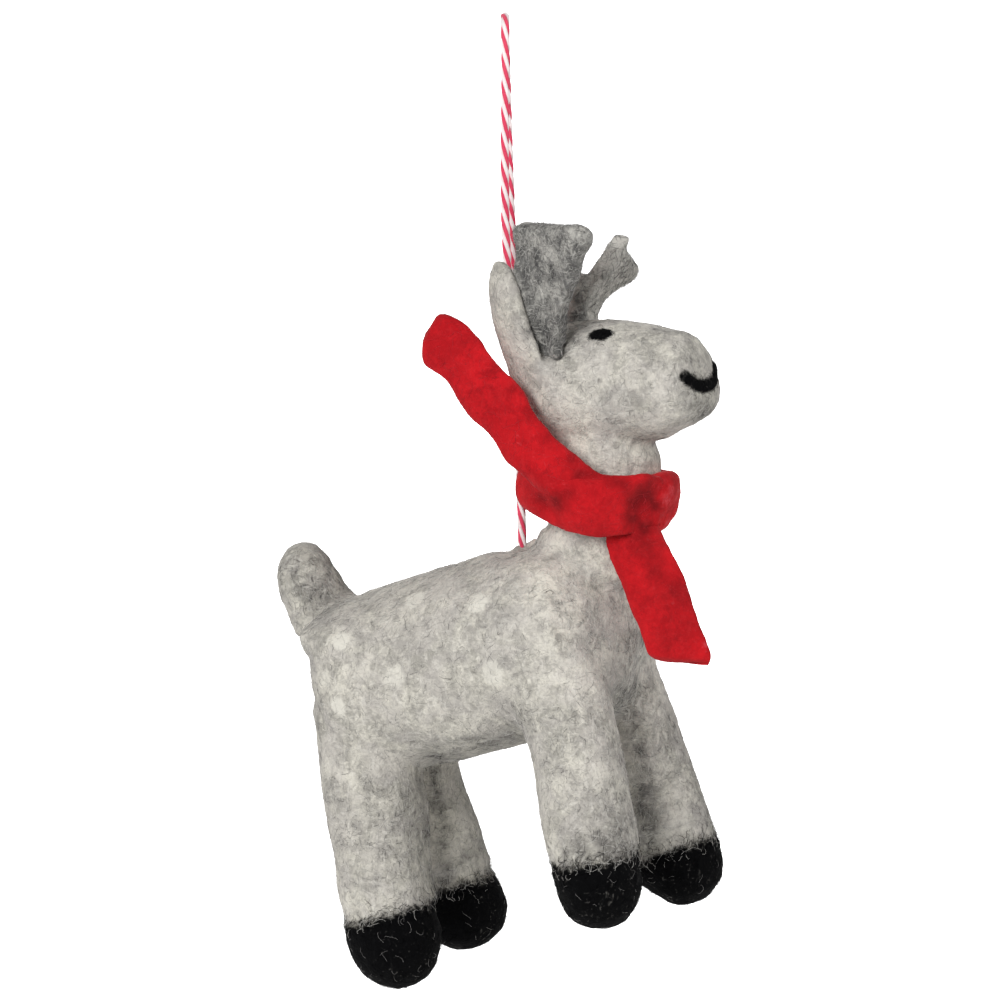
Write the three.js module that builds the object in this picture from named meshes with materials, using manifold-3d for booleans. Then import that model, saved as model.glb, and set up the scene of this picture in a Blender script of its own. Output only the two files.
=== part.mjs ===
// Felt reindeer Christmas ornament hung on a loop of baker's twine.
// Millimetres, +Z up, +X toward the nose, +Y toward the animal's left.
// The origin is the underside of the twine loop's top bend, where a hook or twig bears.
import * as THREE from 'three';
import { mergeVertices } from 'three/addons/utils/BufferGeometryUtils.js';
import Module from 'manifold-3d';

const wasm = await Module();
wasm.setup();

const turned = (degrees) => Object.fromEntries(
  Object.entries(degrees).map(([name, value]) => [name, THREE.MathUtils.degToRad(value)]),
);

// Twine loop
const twineDiameter = 1.6;
const loopTopRadius = 3.4;
const loopDrop = 95.6; // underside of the bend down to the entry in the back
const strandDrift = 1;
const strandSpacing = 2;
const rootSpacing = 1.1;
const loopTurn = THREE.MathUtils.degToRad(27);
const twineRootLength = 8;
const anchorDiameter = 3;
const touchGap = 0.3;

// Body, measured from the twine's entry in the middle of the back
const bodyPitch = THREE.MathUtils.degToRad(16);
const entryToRump = 46.5;
const entryToChest = 18;
const torsoHeight = 34.6;
const torsoWidth = 41;
const rumpRounding = 13;
const chestRounding = 12;
const torsoHeightShares = [0.95, 1, 0.99, 0.97, 0.98, 0.98];
const torsoWidthShares = [0.94, 1, 0.98, 0.95, 0.98, 0.92];

// Legs and hooves
const backToSole = 70;
const legDiameter = 17;
const thighDiameter = 18;
const hindHipSpacing = 17.8;
const hindHoofSpacing = 27.4;
const foreHipSpacing = 21;
const foreHoofSpacing = 31;
const leftHindSetBack = 4.9;
const hindLegDrop = { right: 1.3, left: -1.9 }; // one hind leg reaches lower than its mate
const kneeShare = 0.45;
const hindHipSetIn = 10.8;
const hindFootSetIn = 7.4;
const hindFootSetBackShare = 0.3;
const foreHipSetIn = 11.8;
const foreFootSetIn = 14;
const hipDepth = 20;
const hoofHeight = 12.6;
const hoofDiameter = 17;
const hoofRounding = 7;

// Tail
const tailLength = 19.2;
const tailDiameter = 10;
const tailRootDiameter = 12.6;
const tailSetIn = 5.6;
const tailRootDepth = 8;
const tailLean = THREE.MathUtils.degToRad(12);

// Neck and head
const neckDepth = 22;
const neckWidth = 19;
const neckFootBehindChest = 8;
const neckFootDrop = 13;
const headLength = 35;
const headHeight = 23.2;
const headWidth = 23.5;
const headRise = 23.4;
const headBackOffset = 11;
const neckJoinShare = 0.36;
const nodRise = 5;
const pollRounding = 10;
const muzzleRounding = 4;
const headHeightShares = [0.86, 1, 1, 0.93, 0.83, 0.74];
const headWidthShares = [0.86, 1, 0.98, 0.88, 0.77, 0.68];
const faceRiseShares = [0, 0.5, 0.4, 0.04, -0.58, -1.15];

// Face
const eyeLength = 4.1;
const eyeHeight = 2.5;
const eyeBulge = 1.1;
const eyeShare = 0.52;
const eyeRaise = THREE.MathUtils.degToRad(55);
const mouthStrokeWidth = 1.5;
const mouthRelief = 0.8;
const mouthWidth = 11.4;
const mouthSideOffset = -1.4;
const mouthSagDepth = 2.7;
const mouthRise = 18.9;
const smileCutShare = 0.7;

// Ears and antlers
const earLength = 24;
const earWidth = 10;
const earThickness = 3;
const earRootDepth = 2;
const earForeOffset = 15.9;
const earSideInset = 3.7;
const earCurlDepth = 1.4;
const earTipHeight = 50.8;
const earTurn = THREE.MathUtils.degToRad(-27);
const earWidthShares = [1.1, 1.06, 0.98, 0.84, 0.6];
const antlerHeight = 25;
const antlerSpreadWidth = 18;
const antlerStemWidth = 6.4;
const antlerThickness = 3.4;
const antlerRoundShare = 0.3;
const antlerRootDepth = 4;
const antlerForeOffset = 22.4;
const antlerBackProngShare = 0.9;
const antlerSpacing = 14;
const antlerSinkDepth = 2.4;
const fullEdgeShares = {
  waistShare: 0.35, flareShare: 0.55, hollowShare: 0.8, shoulderShare: 0.86,
  cornerShare: 0.7, heelShare: 0.9, dipShare: 0,
};
const forkedEdgeShares = {
  waistShare: 0.4, flareShare: 0.6, hollowShare: 0.45, shoulderShare: 0.84,
  cornerShare: 0.68, heelShare: 0.7, dipShare: 0.1,
};
const antlerSets = {
  right: {
    setBack: 0.3, reachShare: 1, edgeShares: fullEdgeShares, ...turned({ lean: 19, splay: 11, turn: -27 }),
  },
  left: {
    setBack: 3.4, reachShare: 0.79, edgeShares: forkedEdgeShares, ...turned({ lean: 35, splay: 29, turn: 73 }),
  },
};

// Scarf
const scarfThickness = 3.6;
const scarfWidth = 10.4;
const wrapLength = 26.9;
const wrapWidth = 30.4;
const wrapForeOffset = 19.3;
const wrapRise = 5.1;
const wrapTilt = THREE.MathUtils.degToRad(19);
const wrapRippleDepth = 0.7;
const wrapBulgeDepth = 1.7;
const wrapBulgeTurn = THREE.MathUtils.degToRad(-146);
const wrapBulgeSpread = THREE.MathUtils.degToRad(34);
const frontTailLength = 25.5;
const rearTailLength = 35.2;
const scarfTailWidth = 9.8;
const scarfEdgeShares = [0.92, 1.04, 0.94, 1.02, 1.06, 1];
const scarfTailSagDepth = 0.6;
const frontTail = turned({ from: -41, lean: 12, splay: -3, turn: 8 });
const rearTail = turned({ from: -102, lean: -28.5, splay: 6, turn: -10 });
const rearTailLift = 0.7;

// Spots
const spotDiameter = 3.6;
const spotRelief = 0.6;
const spotShares = [
  [0.475, 0.86], [0.68, 0.57], [0.24, 0.576], [0.59, 0.165], [0.39, 0.06],
  [0.69, -0.12], [0.185, 0.2], [0.21, -0.04], [0.64, 0.39],
];

const side = new THREE.Vector3(0, 1, 0);
const forward = new THREE.Vector3(1, 0, 0);
const up = new THREE.Vector3(0, 0, 1);
const at = (x, y, z) => new THREE.Vector3(x, y, z);

function blended(values, share) {
  const curve = new THREE.CatmullRomCurve3(values.map(([a, b]) => at(a, b, 0)));
  return curve.getPoint(share);
}

// Points of one rounded section: a and b are its half axes, fullness 2 is an ellipse.
function sectionPoint(section, turn) {
  const power = 2 / section.fullness;
  const reach = (value) => Math.sign(value) * Math.abs(value) ** power;
  return section.centre.clone()
    .addScaledVector(section.a, reach(Math.cos(turn)))
    .addScaledVector(section.b, reach(Math.sin(turn)));
}

// A closed skin over sections; an open row ends in a point at each end.
function skin(sections, sides, closed) {
  const points = [];
  const faces = [];
  const rings = sections.map((section) => {
    const first = points.length;
    for (let k = 0; k < sides; k += 1) points.push(sectionPoint(section, (k / sides) * 2 * Math.PI));
    return first;
  });
  const rows = closed ? rings.length : rings.length - 1;
  for (let row = 0; row < rows; row += 1) {
    const low = rings[row];
    const high = rings[(row + 1) % rings.length];
    for (let k = 0; k < sides; k += 1) {
      const next = (k + 1) % sides;
      faces.push(low + k, high + next, high + k, low + k, low + next, high + next);
    }
  }
  if (!closed) {
    const start = points.push(sections[0].pole) - 1;
    const end = points.push(sections.at(-1).pole) - 1;
    for (let k = 0; k < sides; k += 1) {
      const next = (k + 1) % sides;
      faces.push(start, rings[0] + next, rings[0] + k);
      faces.push(end, rings.at(-1) + k, rings.at(-1) + next);
    }
  }
  const geometry = new THREE.BufferGeometry();
  geometry.setAttribute('position', new THREE.Float32BufferAttribute(points.flatMap((p) => p.toArray()), 3));
  geometry.setIndex(faces);
  return geometry;
}

// A stuffed felt form: half sizes set along a smooth spine, closed by round ends.
class Stuffed {
  constructor(spec) {
    this.spec = { capRings: 4, rings: 6, sides: 20, fullness: 2, across: side, ...spec };
    this.spine = new THREE.CatmullRomCurve3(spec.spine);
    this.length = this.spine.getLength();
  }

  sectionAt(along, grow) {
    const { halves, startCap, endCap, fullness, across } = this.spec;
    const share = THREE.MathUtils.clamp(along / this.length, 0, 1);
    const tangent = this.spine.getTangentAt(share);
    const centre = this.spine.getPointAt(share).addScaledVector(tangent, along - share * this.length);
    const b = across.clone().addScaledVector(tangent, -across.dot(tangent)).normalize();
    const a = b.clone().cross(tangent);
    const fromStart = Math.min(1, (along + grow) / (startCap + grow));
    const fromEnd = Math.min(1, (this.length + grow - along) / (endCap + grow));
    const round = (s) => Math.sqrt(Math.max(0, 1 - (1 - s) ** 2));
    const closing = Math.min(round(fromStart), round(fromEnd));
    const half = blended(halves, share);
    return {
      centre, fullness, tangent,
      a: a.multiplyScalar((half.x + grow) * closing),
      b: b.multiplyScalar((half.y + grow) * closing),
    };
  }

  geometry(grow = 0) {
    const { startCap, endCap, capRings, rings, sides } = this.spec;
    const places = [];
    for (let k = 1; k <= capRings; k += 1) {
      const turn = (k / capRings) * (Math.PI / 2);
      places.push((startCap + grow) * (1 - Math.cos(turn)) - grow);
    }
    const run = this.length - startCap - endCap;
    for (let k = 1; k < rings; k += 1) places.push(startCap + (run * k) / rings);
    for (let k = capRings; k >= 1; k -= 1) {
      const turn = (k / capRings) * (Math.PI / 2);
      places.push(this.length + grow - (endCap + grow) * (1 - Math.cos(turn)));
    }
    const sections = places.map((along) => this.sectionAt(along, grow));
    sections[0].pole = this.sectionAt(-grow, grow).centre;
    sections.at(-1).pole = this.sectionAt(this.length + grow, grow).centre;
    return skin(sections, sides, false);
  }

  pointAt(share, turn, lift = 0) {
    return sectionPoint(this.sectionAt(share * this.length, lift), turn);
  }
}

function solidOf(geometry) {
  const bare = geometry.clone();
  bare.deleteAttribute('normal');
  bare.deleteAttribute('uv');
  const merged = mergeVertices(bare);
  return new wasm.Manifold(new wasm.Mesh({
    numProp: 3,
    vertProperties: new Float32Array(merged.attributes.position.array),
    triVerts: new Uint32Array(merged.index.array),
  }));
}

function geometryOf(solid) {
  const mesh = solid.getMesh();
  const geometry = new THREE.BufferGeometry();
  geometry.setAttribute('position', new THREE.Float32BufferAttribute(mesh.vertProperties, 3));
  geometry.setIndex(Array.from(mesh.triVerts));
  return geometry;
}

function cut(base, ...tools) {
  return geometryOf(tools.reduce((solid, tool) => solid.subtract(solidOf(tool)), solidOf(base)));
}

const felts = {
  grey: { color: 0xaba8a3, roughness: 1 },
  dark: { color: 0x6f6d6a, roughness: 1 },
  pale: { color: 0xc2beb7, roughness: 1 },
  black: { color: 0x0e0e0e, roughness: 1 },
  cream: { color: 0xdedacf, roughness: 1 },
  red: { color: 0xc41c26, roughness: 1 },
  twine: { color: 0xd2525f, roughness: 0.9 },
};

const ornament = new THREE.Group();
const deer = new THREE.Group();
deer.position.set(0, 0, -loopDrop);
deer.rotation.y = -bodyPitch;
ornament.add(deer);

function piece(group, name, geometry, felt) {
  const shaded = geometry.index ? geometry.toNonIndexed() : geometry;
  shaded.computeVertexNormals();
  const mesh = new THREE.Mesh(shaded, new THREE.MeshStandardMaterial({ ...felts[felt], metalness: 0 }));
  mesh.name = name;
  group.add(mesh);
}

// Torso: a plump level barrel whose back passes through the twine's entry.
const torsoLength = entryToRump + entryToChest;
const torsoAxis = -torsoHeight / 2;
const torso = new Stuffed({
  spine: [
    at(-entryToRump, 0, torsoAxis),
    at(-entryToRump + torsoLength / 2, 0, torsoAxis),
    at(entryToChest, 0, torsoAxis),
  ],
  halves: torsoHeightShares.map((share, k) => [
    (share * torsoHeight) / 2, (torsoWidthShares[k] * torsoWidth) / 2,
  ]),
  startCap: rumpRounding,
  endCap: chestRounding,
  fullness: 2.3,
  rings: 8,
  sides: 32,
});

const anchorPocket = new THREE.SphereGeometry(anchorDiameter / 2 + touchGap, 12, 8);
piece(deer, 'torso', cut(torso.geometry(), anchorPocket), 'grey');
piece(deer, 'twine_anchor', new THREE.SphereGeometry(anchorDiameter / 2, 12, 8), 'twine');

// Legs and hooves: splayed posts whose feet share one height under the back.
const hoofTop = -(backToSole - hoofHeight);
const legs = [
  ['hind', -entryToRump + hindHipSetIn, hindHipSpacing, -entryToRump + hindFootSetIn, hindHoofSpacing],
  ['fore', entryToChest - foreHipSetIn, foreHipSpacing, entryToChest - foreFootSetIn, foreHoofSpacing],
];
const bodyCut = torso.geometry(touchGap);
for (const [pair, hipAhead, hipSpacing, footAhead, hoofSpacing] of legs) {
  for (const [flank, sign] of [['right', -1], ['left', 1]]) {
    const setBack = pair === 'hind' && flank === 'left' ? leftHindSetBack : 0;
    const hip = at(hipAhead - setBack, (sign * hipSpacing) / 2, -hipDepth);
    const drop = pair === 'hind' ? hindLegDrop[flank] : 0;
    const ankle = at(footAhead - setBack * hindFootSetBackShare, (sign * hoofSpacing) / 2, hoofTop - drop);
    const leg = new Stuffed({
      spine: [
        hip.clone().addScaledVector(up, thighDiameter / 2),
        hip.clone().lerp(ankle, kneeShare),
        ankle.clone().addScaledVector(up, -hoofHeight),
      ],
      halves: [
        [thighDiameter / 2, thighDiameter / 2 - scarfThickness / 2],
        [thighDiameter / 2, legDiameter / 2],
        [legDiameter / 2, legDiameter / 2],
        [legDiameter / 2, legDiameter / 2],
      ],
      startCap: thighDiameter / 2,
      endCap: hoofRounding,
      rings: 5,
    });
    const below = new THREE.BoxGeometry(hoofDiameter * 2, hoofDiameter * 2, hoofHeight * 2);
    below.translate(ankle.x, ankle.y, ankle.z - hoofHeight + touchGap);
    piece(deer, `${flank}_${pair}_leg`, cut(leg.geometry(), bodyCut, below), 'grey');
    const hoof = new Stuffed({
      spine: [
        ankle.clone().addScaledVector(up, hoofHeight),
        ankle,
        ankle.clone().addScaledVector(up, -hoofHeight),
      ],
      halves: [[hoofDiameter / 2, hoofDiameter / 2], [hoofDiameter / 2, hoofDiameter / 2]],
      startCap: hoofRounding,
      endCap: hoofRounding,
      rings: 3,
    });
    const above = new THREE.BoxGeometry(hoofDiameter * 2, hoofDiameter * 2, hoofHeight * 2);
    above.translate(ankle.x, ankle.y, ankle.z + hoofHeight);
    piece(deer, `${flank}_${pair}_hoof`, cut(hoof.geometry(), above), 'black');
  }
}

// Tail: a stubby finger standing up behind the rump.
const tailFoot = at(-entryToRump + tailSetIn, 0, -tailRootDepth);
const tailUp = at(-Math.sin(tailLean), 0, Math.cos(tailLean));
const tail = new Stuffed({
  spine: [
    tailFoot,
    tailFoot.clone().addScaledVector(tailUp, tailLength / 2),
    tailFoot.clone().addScaledVector(tailUp, tailLength),
  ],
  halves: [
    [tailRootDiameter / 2, tailRootDiameter / 2],
    [(tailRootDiameter + tailDiameter) / 4, (tailRootDiameter + tailDiameter) / 4],
    [tailDiameter / 2, tailDiameter / 2],
  ],
  startCap: tailRootDiameter / 2,
  endCap: tailDiameter / 2,
  rings: 3,
  sides: 16,
});
piece(deer, 'tail', cut(tail.geometry(), bodyCut), 'grey');

// Head: a wedge that tapers from full cheeks to a blunt muzzle.
const headShareAhead = (share) => headBackOffset + share * headLength;
const head = new Stuffed({
  spine: faceRiseShares.map((share, k) => at(
    headShareAhead(k / (faceRiseShares.length - 1)), 0, headRise + share * nodRise / 2,
  )),
  halves: headHeightShares.map((share, k) => [
    (share * headHeight) / 2, (headWidthShares[k] * headWidth) / 2,
  ]),
  startCap: pollRounding,
  endCap: muzzleRounding,
  rings: 6,
  sides: 24,
});
piece(deer, 'head', head.geometry(), 'grey');
const headCut = head.geometry(touchGap);

// Neck: a short leaning column between chest and head.
const neckFoot = at(entryToChest - neckFootBehindChest, 0, -neckFootDrop);
const neckHead = at(headShareAhead(neckJoinShare), 0, headRise);
const neck = new Stuffed({
  spine: [neckFoot, neckFoot.clone().lerp(neckHead, 0.5), neckHead],
  halves: [
    [neckDepth / 2, neckWidth / 2],
    [neckDepth / 2, neckWidth / 2],
    [neckDepth / 2, neckWidth / 2],
  ],
  startCap: neckDepth / 2,
  endCap: neckDepth / 2,
  rings: 4,
});
piece(deer, 'neck', cut(neck.geometry(), bodyCut, headCut), 'grey');
const neckCut = neck.geometry(touchGap);

// Small felt pieces that lie on a stuffed form: along it, out of it, and across both.
function seatOn(form, share, turn) {
  const place = form.pointAt(share, turn);
  const out = form.pointAt(share, turn, touchGap).sub(place).normalize();
  const along = form.pointAt(share + 0.01, turn).sub(place);
  along.addScaledVector(out, -along.dot(out)).normalize();
  return new THREE.Matrix4().makeBasis(along, out, along.clone().cross(out)).setPosition(place);
}

function pad(form, formCut, length, relief, width, share, turn) {
  const lens = new THREE.SphereGeometry(0.5, 12, 6);
  lens.scale(length, (relief + touchGap) * 2, width);
  lens.applyMatrix4(seatOn(form, share, turn));
  return cut(lens, formCut);
}

// Eyes and mouth: black felt laid on the face.
const flanks = [['right', -1], ['left', 1]];
for (const [flank, sign] of flanks) {
  const turn = sign * (Math.PI / 2 + eyeRaise);
  piece(deer, `${flank}_eye`, pad(head, headCut, eyeLength, eyeBulge, eyeHeight, eyeShare, turn), 'black');
}

const smile = (share, offset) => at(
  0, mouthSideOffset + (share * mouthWidth) / 2, mouthRise + mouthSagDepth * share * share + offset,
);
const smileShape = new THREE.Shape();
const smileShares = [-1, -0.8, -0.5, -0.2, 0.2, 0.5, 0.8, 1];
const smileEdge = [
  ...smileShares.map((share) => smile(share, -mouthStrokeWidth / 2)),
  ...smileShares.toReversed().map((share) => smile(share, mouthStrokeWidth / 2)),
];
smileShape.setFromPoints(smileEdge.map((p) => new THREE.Vector2(p.y, p.z)));
const smileCutter = new THREE.ExtrudeGeometry(smileShape, { depth: headLength / 2, bevelEnabled: false });
smileCutter.applyMatrix4(new THREE.Matrix4().makeBasis(side, up, forward));
smileCutter.translate(headShareAhead(smileCutShare), 0, 0);
const lips = solidOf(head.geometry(touchGap + mouthRelief)).subtract(solidOf(headCut));
piece(deer, 'mouth', geometryOf(lips.intersect(solidOf(smileCutter))), 'black');

// Ears: leaves that stand up behind the antlers.
const earSide = headWidth / 2 - earSideInset;
const earCuts = {};
for (const [flank, sign] of flanks) {
  const ear = new Stuffed({
    spine: [
      at(earForeOffset, sign * earSide, earTipHeight - earLength - earRootDepth),
      at(earForeOffset - earCurlDepth / 2, sign * (earSide + earCurlDepth), earTipHeight - earLength / 2),
      at(earForeOffset, sign * (earSide + earCurlDepth), earTipHeight),
    ],
    halves: earWidthShares.map((share) => [earThickness / 2, (share * earWidth) / 2]),
    startCap: earThickness / 2,
    endCap: earWidth / 2,
    across: at(Math.cos(earTurn), -sign * Math.sin(earTurn), 0),
    rings: 5,
    sides: 12,
  });
  piece(deer, `${flank}_ear`, cut(ear.geometry(), headCut), 'pale');
  earCuts[flank] = ear.geometry(touchGap);
}

// Antlers: flat felt fans, each cut with a prong at either end of its top edge.
function antlerShape(shares) {
  const { waistShare, flareShare, hollowShare, shoulderShare, cornerShare, heelShare, dipShare } = shares;
  const stemHalf = antlerStemWidth / 2;
  const prong = antlerSpreadWidth / 2;
  const backProng = antlerHeight * antlerBackProngShare;
  const shape = new THREE.Shape();
  shape.moveTo(-stemHalf, -antlerRootDepth);
  shape.lineTo(stemHalf, -antlerRootDepth);
  shape.bezierCurveTo(
    stemHalf, antlerHeight * waistShare, prong * hollowShare, antlerHeight * flareShare,
    prong, antlerHeight * shoulderShare,
  );
  shape.quadraticCurveTo(prong, antlerHeight, prong * cornerShare, antlerHeight);
  shape.quadraticCurveTo(0, backProng - antlerHeight * dipShare, -prong * cornerShare, backProng);
  shape.quadraticCurveTo(-prong, backProng, -prong, backProng * shoulderShare);
  shape.bezierCurveTo(
    -prong * heelShare, antlerHeight * flareShare, -stemHalf, antlerHeight * waistShare,
    -stemHalf, -antlerRootDepth,
  );
  return shape;
}
const antlerRound = antlerThickness * antlerRoundShare;
for (const [flank, sign] of flanks) {
  const { lean, splay, turn, reachShare, setBack, edgeShares } = antlerSets[flank];
  const stem = at(Math.sin(lean) * Math.cos(splay), sign * Math.sin(splay), Math.cos(lean) * Math.cos(splay));
  const ahead = forward.clone().addScaledVector(stem, -forward.dot(stem)).normalize();
  const aside = stem.clone().cross(ahead);
  const wide = ahead.clone().multiplyScalar(Math.cos(turn)).addScaledVector(aside, -sign * Math.sin(turn));
  const fan = new THREE.ExtrudeGeometry(antlerShape(edgeShares), {
    depth: antlerThickness - antlerRound * 2,
    bevelThickness: antlerRound,
    bevelSize: antlerRound,
    bevelOffset: -antlerRound,
    bevelSegments: 2,
    curveSegments: 5,
  });
  fan.translate(0, 0, antlerRound - antlerThickness / 2);
  fan.scale(reachShare, reachShare, 1);
  fan.applyMatrix4(new THREE.Matrix4().makeBasis(wide, stem, wide.clone().cross(stem)));
  const rootHeight = headRise + headHeight / 2 - antlerSinkDepth;
  fan.translate(antlerForeOffset - setBack, (sign * antlerSpacing) / 2, rootHeight);
  piece(deer, `${flank}_antler`, cut(fan, headCut, earCuts[flank]), 'dark');
}

// Scarf: one thick strip, wrapped round the neck, with a tail tucked up behind and one in front.
const wrapFore = at(Math.cos(wrapTilt), 0, -Math.sin(wrapTilt));
const wrapUp = at(Math.sin(wrapTilt), 0, Math.cos(wrapTilt));
const wrapCentre = at(wrapForeOffset, 0, wrapRise);
function wrapSection(turn) {
  const swell = wrapRippleDepth * Math.cos(3 * turn + 1);
  const out = wrapFore.clone().multiplyScalar(((wrapLength - scarfThickness) / 2) * Math.cos(turn))
    .addScaledVector(side, ((wrapWidth - scarfThickness) / 2) * Math.sin(turn));
  const offBulge = THREE.MathUtils.euclideanModulo(turn - wrapBulgeTurn + Math.PI, 2 * Math.PI) - Math.PI;
  const bulge = wrapBulgeDepth * Math.exp(-((offBulge / wrapBulgeSpread) ** 2));
  const outward = out.clone().normalize();
  return {
    centre: wrapCentre.clone().add(out).addScaledVector(outward, bulge / 2).addScaledVector(wrapUp, swell / 2),
    a: outward.multiplyScalar((scarfThickness + bulge + swell / 2) / 2),
    b: wrapUp.clone().multiplyScalar(-(scarfWidth + swell) / 2),
    fullness: 3,
  };
}
const wrapSteps = 28;
const wrapSections = Array.from({ length: wrapSteps }, (_, k) => wrapSection((k / wrapSteps) * 2 * Math.PI));
piece(deer, 'scarf_wrap', cut(skin(wrapSections, 12, true), neckCut, bodyCut, headCut), 'red');

// A tail leaves the edge of the wrap: above is +1 at its upper edge, -1 at its lower one.
function scarfTail({ from, lean, splay, turn }, above, lift, out, length) {
  const edge = wrapSection(from);
  const foot = edge.centre.clone().addScaledVector(wrapUp, above * (edge.b.length() + lift))
    .addScaledVector(edge.a.clone().normalize(), out);
  const run = at(Math.sin(lean) * Math.cos(splay), Math.sin(splay), above * Math.cos(lean) * Math.cos(splay));
  const across = forward.clone().multiplyScalar(Math.cos(turn)).addScaledVector(side, Math.sin(turn));
  const face = across.clone().cross(run).normalize();
  return new Stuffed({
    spine: [
      foot,
      foot.clone().addScaledVector(run, length / 2).addScaledVector(face, scarfTailSagDepth),
      foot.clone().addScaledVector(run, length),
    ],
    halves: scarfEdgeShares.map((share) => [scarfThickness / 2, (share * scarfTailWidth) / 2]),
    startCap: scarfThickness / 2,
    endCap: scarfThickness / 2,
    capRings: 3,
    fullness: 3,
    across,
    rings: 6,
    sides: 12,
  }).geometry();
}
piece(deer, 'scarf_front_tail', scarfTail(frontTail, -1, touchGap * 2, 0, frontTailLength), 'red');
const overWrap = scarfThickness - touchGap;
piece(deer, 'scarf_rear_tail', scarfTail(rearTail, 1, rearTailLift, overWrap, rearTailLength), 'red');

// Spots: small cream pads on both flanks.
spotShares.forEach(([share, raise], k) => {
  for (const [flank, sign] of flanks) {
    const turn = sign * (Math.PI / 2 + raise);
    piece(deer, `${flank}_spot_${k + 1}`, pad(
      torso, bodyCut, spotDiameter, spotRelief, spotDiameter, share, turn,
    ), 'cream');
  }
});

// Twine: both strands rise from one root and part toward the bend.
function strandPoint([apart, drift, drop], sign) {
  const across = apart * loopTopRadius;
  const off = drift * strandDrift;
  return at(
    sign * (-across * Math.sin(loopTurn) + off * Math.cos(loopTurn)),
    sign * (across * Math.cos(loopTurn) + off * Math.sin(loopTurn)),
    twineDiameter / 2 - drop * loopDrop,
  );
}
const routeShares = [
  [0.7, 0, 0.0102], [0.93, 0, 0.0222], [1, 0, 0.0356], [0.96, 0.15, 0.13], [0.82, 0.4, 0.27],
  [0.64, 0.55, 0.395], [0.48, 0.4, 0.55], [0.36, 0.15, 0.72], [0.3, 0, 0.84],
];
const rootTop = -loopDrop + anchorDiameter / 2 + touchGap + twineRootLength;
const strandFoot = (sign, z, spacing = strandSpacing) => at(
  (-sign * spacing * Math.sin(loopTurn)) / 2, (sign * spacing * Math.cos(loopTurn)) / 2, z,
);
const loopRoute = new THREE.CatmullRomCurve3([
  strandFoot(1, rootTop + touchGap), strandFoot(1, rootTop + touchGap + twineDiameter),
  ...routeShares.toReversed().map((share) => strandPoint(share, 1)),
  at(0, 0, twineDiameter / 2),
  ...routeShares.map((share) => strandPoint(share, -1)),
  strandFoot(-1, rootTop + touchGap + twineDiameter), strandFoot(-1, rootTop + touchGap),
], false, 'centripetal');

const strandRing = new THREE.Shape();
const strandSides = 8;
strandRing.setFromPoints(Array.from({ length: strandSides }, (_, k) => new THREE.Vector2(
  (twineDiameter / 2) * Math.cos((k / strandSides) * 2 * Math.PI),
  (twineDiameter / 2) * Math.sin((k / strandSides) * 2 * Math.PI),
)));
const tube = (route, steps) => new THREE.ExtrudeGeometry(strandRing, { extrudePath: route, steps });
piece(ornament, 'twine_loop', tube(loopRoute, 76), 'twine');

const rootStrands = [1, -1].map((sign) => solidOf(tube(
  new THREE.LineCurve3(
    strandFoot(sign, rootTop, rootSpacing), strandFoot(sign, rootTop - twineRootLength, rootSpacing),
  ), 1,
)));
piece(ornament, 'twine_root', geometryOf(rootStrands[0].add(rootStrands[1])), 'twine');

export default ornament;
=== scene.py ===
import math

import bmesh
import bpy
import numpy as np
from mathutils import Matrix, Quaternion, Vector, noise
from mathutils.bvhtree import BVHTree


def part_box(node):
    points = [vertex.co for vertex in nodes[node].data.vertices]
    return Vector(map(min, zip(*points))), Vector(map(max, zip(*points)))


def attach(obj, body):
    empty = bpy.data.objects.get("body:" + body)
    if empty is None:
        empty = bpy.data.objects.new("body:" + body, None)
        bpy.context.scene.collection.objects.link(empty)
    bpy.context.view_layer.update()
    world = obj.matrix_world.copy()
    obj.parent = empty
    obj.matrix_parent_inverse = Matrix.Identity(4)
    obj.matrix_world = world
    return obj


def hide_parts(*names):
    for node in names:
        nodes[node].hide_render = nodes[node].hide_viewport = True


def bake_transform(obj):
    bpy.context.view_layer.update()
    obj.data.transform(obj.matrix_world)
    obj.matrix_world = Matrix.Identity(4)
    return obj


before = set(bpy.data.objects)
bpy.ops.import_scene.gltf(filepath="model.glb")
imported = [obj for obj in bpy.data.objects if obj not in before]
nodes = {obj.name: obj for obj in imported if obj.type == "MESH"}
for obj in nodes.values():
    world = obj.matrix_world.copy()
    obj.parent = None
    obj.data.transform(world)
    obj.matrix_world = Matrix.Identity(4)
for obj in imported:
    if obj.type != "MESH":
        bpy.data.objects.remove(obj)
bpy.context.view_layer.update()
scene = bpy.context.scene
mm = 0.001

# The reindeer hangs tail down by this much; its own axes start where the twine enters the back
pitch = math.radians(16)
ahead = Vector((math.cos(pitch), 0, math.sin(pitch)))
aside = Vector((0, 1, 0))
aloft = Vector((-math.sin(pitch), 0, math.cos(pitch)))
entry = Vector((0, 0, -95.6 * mm))


def onDeer(u, v, w):
    return entry + ahead * (u * mm) + aside * (v * mm) + aloft * (w * mm)


def addObject(name, mesh):
    obj = bpy.data.objects.new(name, mesh)
    scene.collection.objects.link(obj)
    return obj


def fromBmesh(name, bm):
    mesh = bpy.data.meshes.new(name)
    bm.to_mesh(mesh)
    bm.free()
    return addObject(name, mesh)


def settle(obj):  # the result of the modifiers, or of a curve's bevel, becomes the mesh
    graph = bpy.context.evaluated_depsgraph_get()
    mesh = bpy.data.meshes.new_from_object(obj.evaluated_get(graph))
    name = obj.name
    bpy.data.objects.remove(obj)
    mesh.name = name
    mesh.shade_smooth()
    return addObject(name, mesh)


def dress(obj, material):
    obj.data.materials.clear()
    obj.data.materials.append(material)
    return obj


def coordsOf(mesh):
    flat = np.empty(len(mesh.vertices) * 3)
    mesh.vertices.foreach_get("co", flat)
    return flat.reshape(-1, 3)


def normalsOf(mesh):
    flat = np.empty(len(mesh.vertices) * 3)
    mesh.vertices.foreach_get("normal", flat)
    return flat.reshape(-1, 3)


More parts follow.
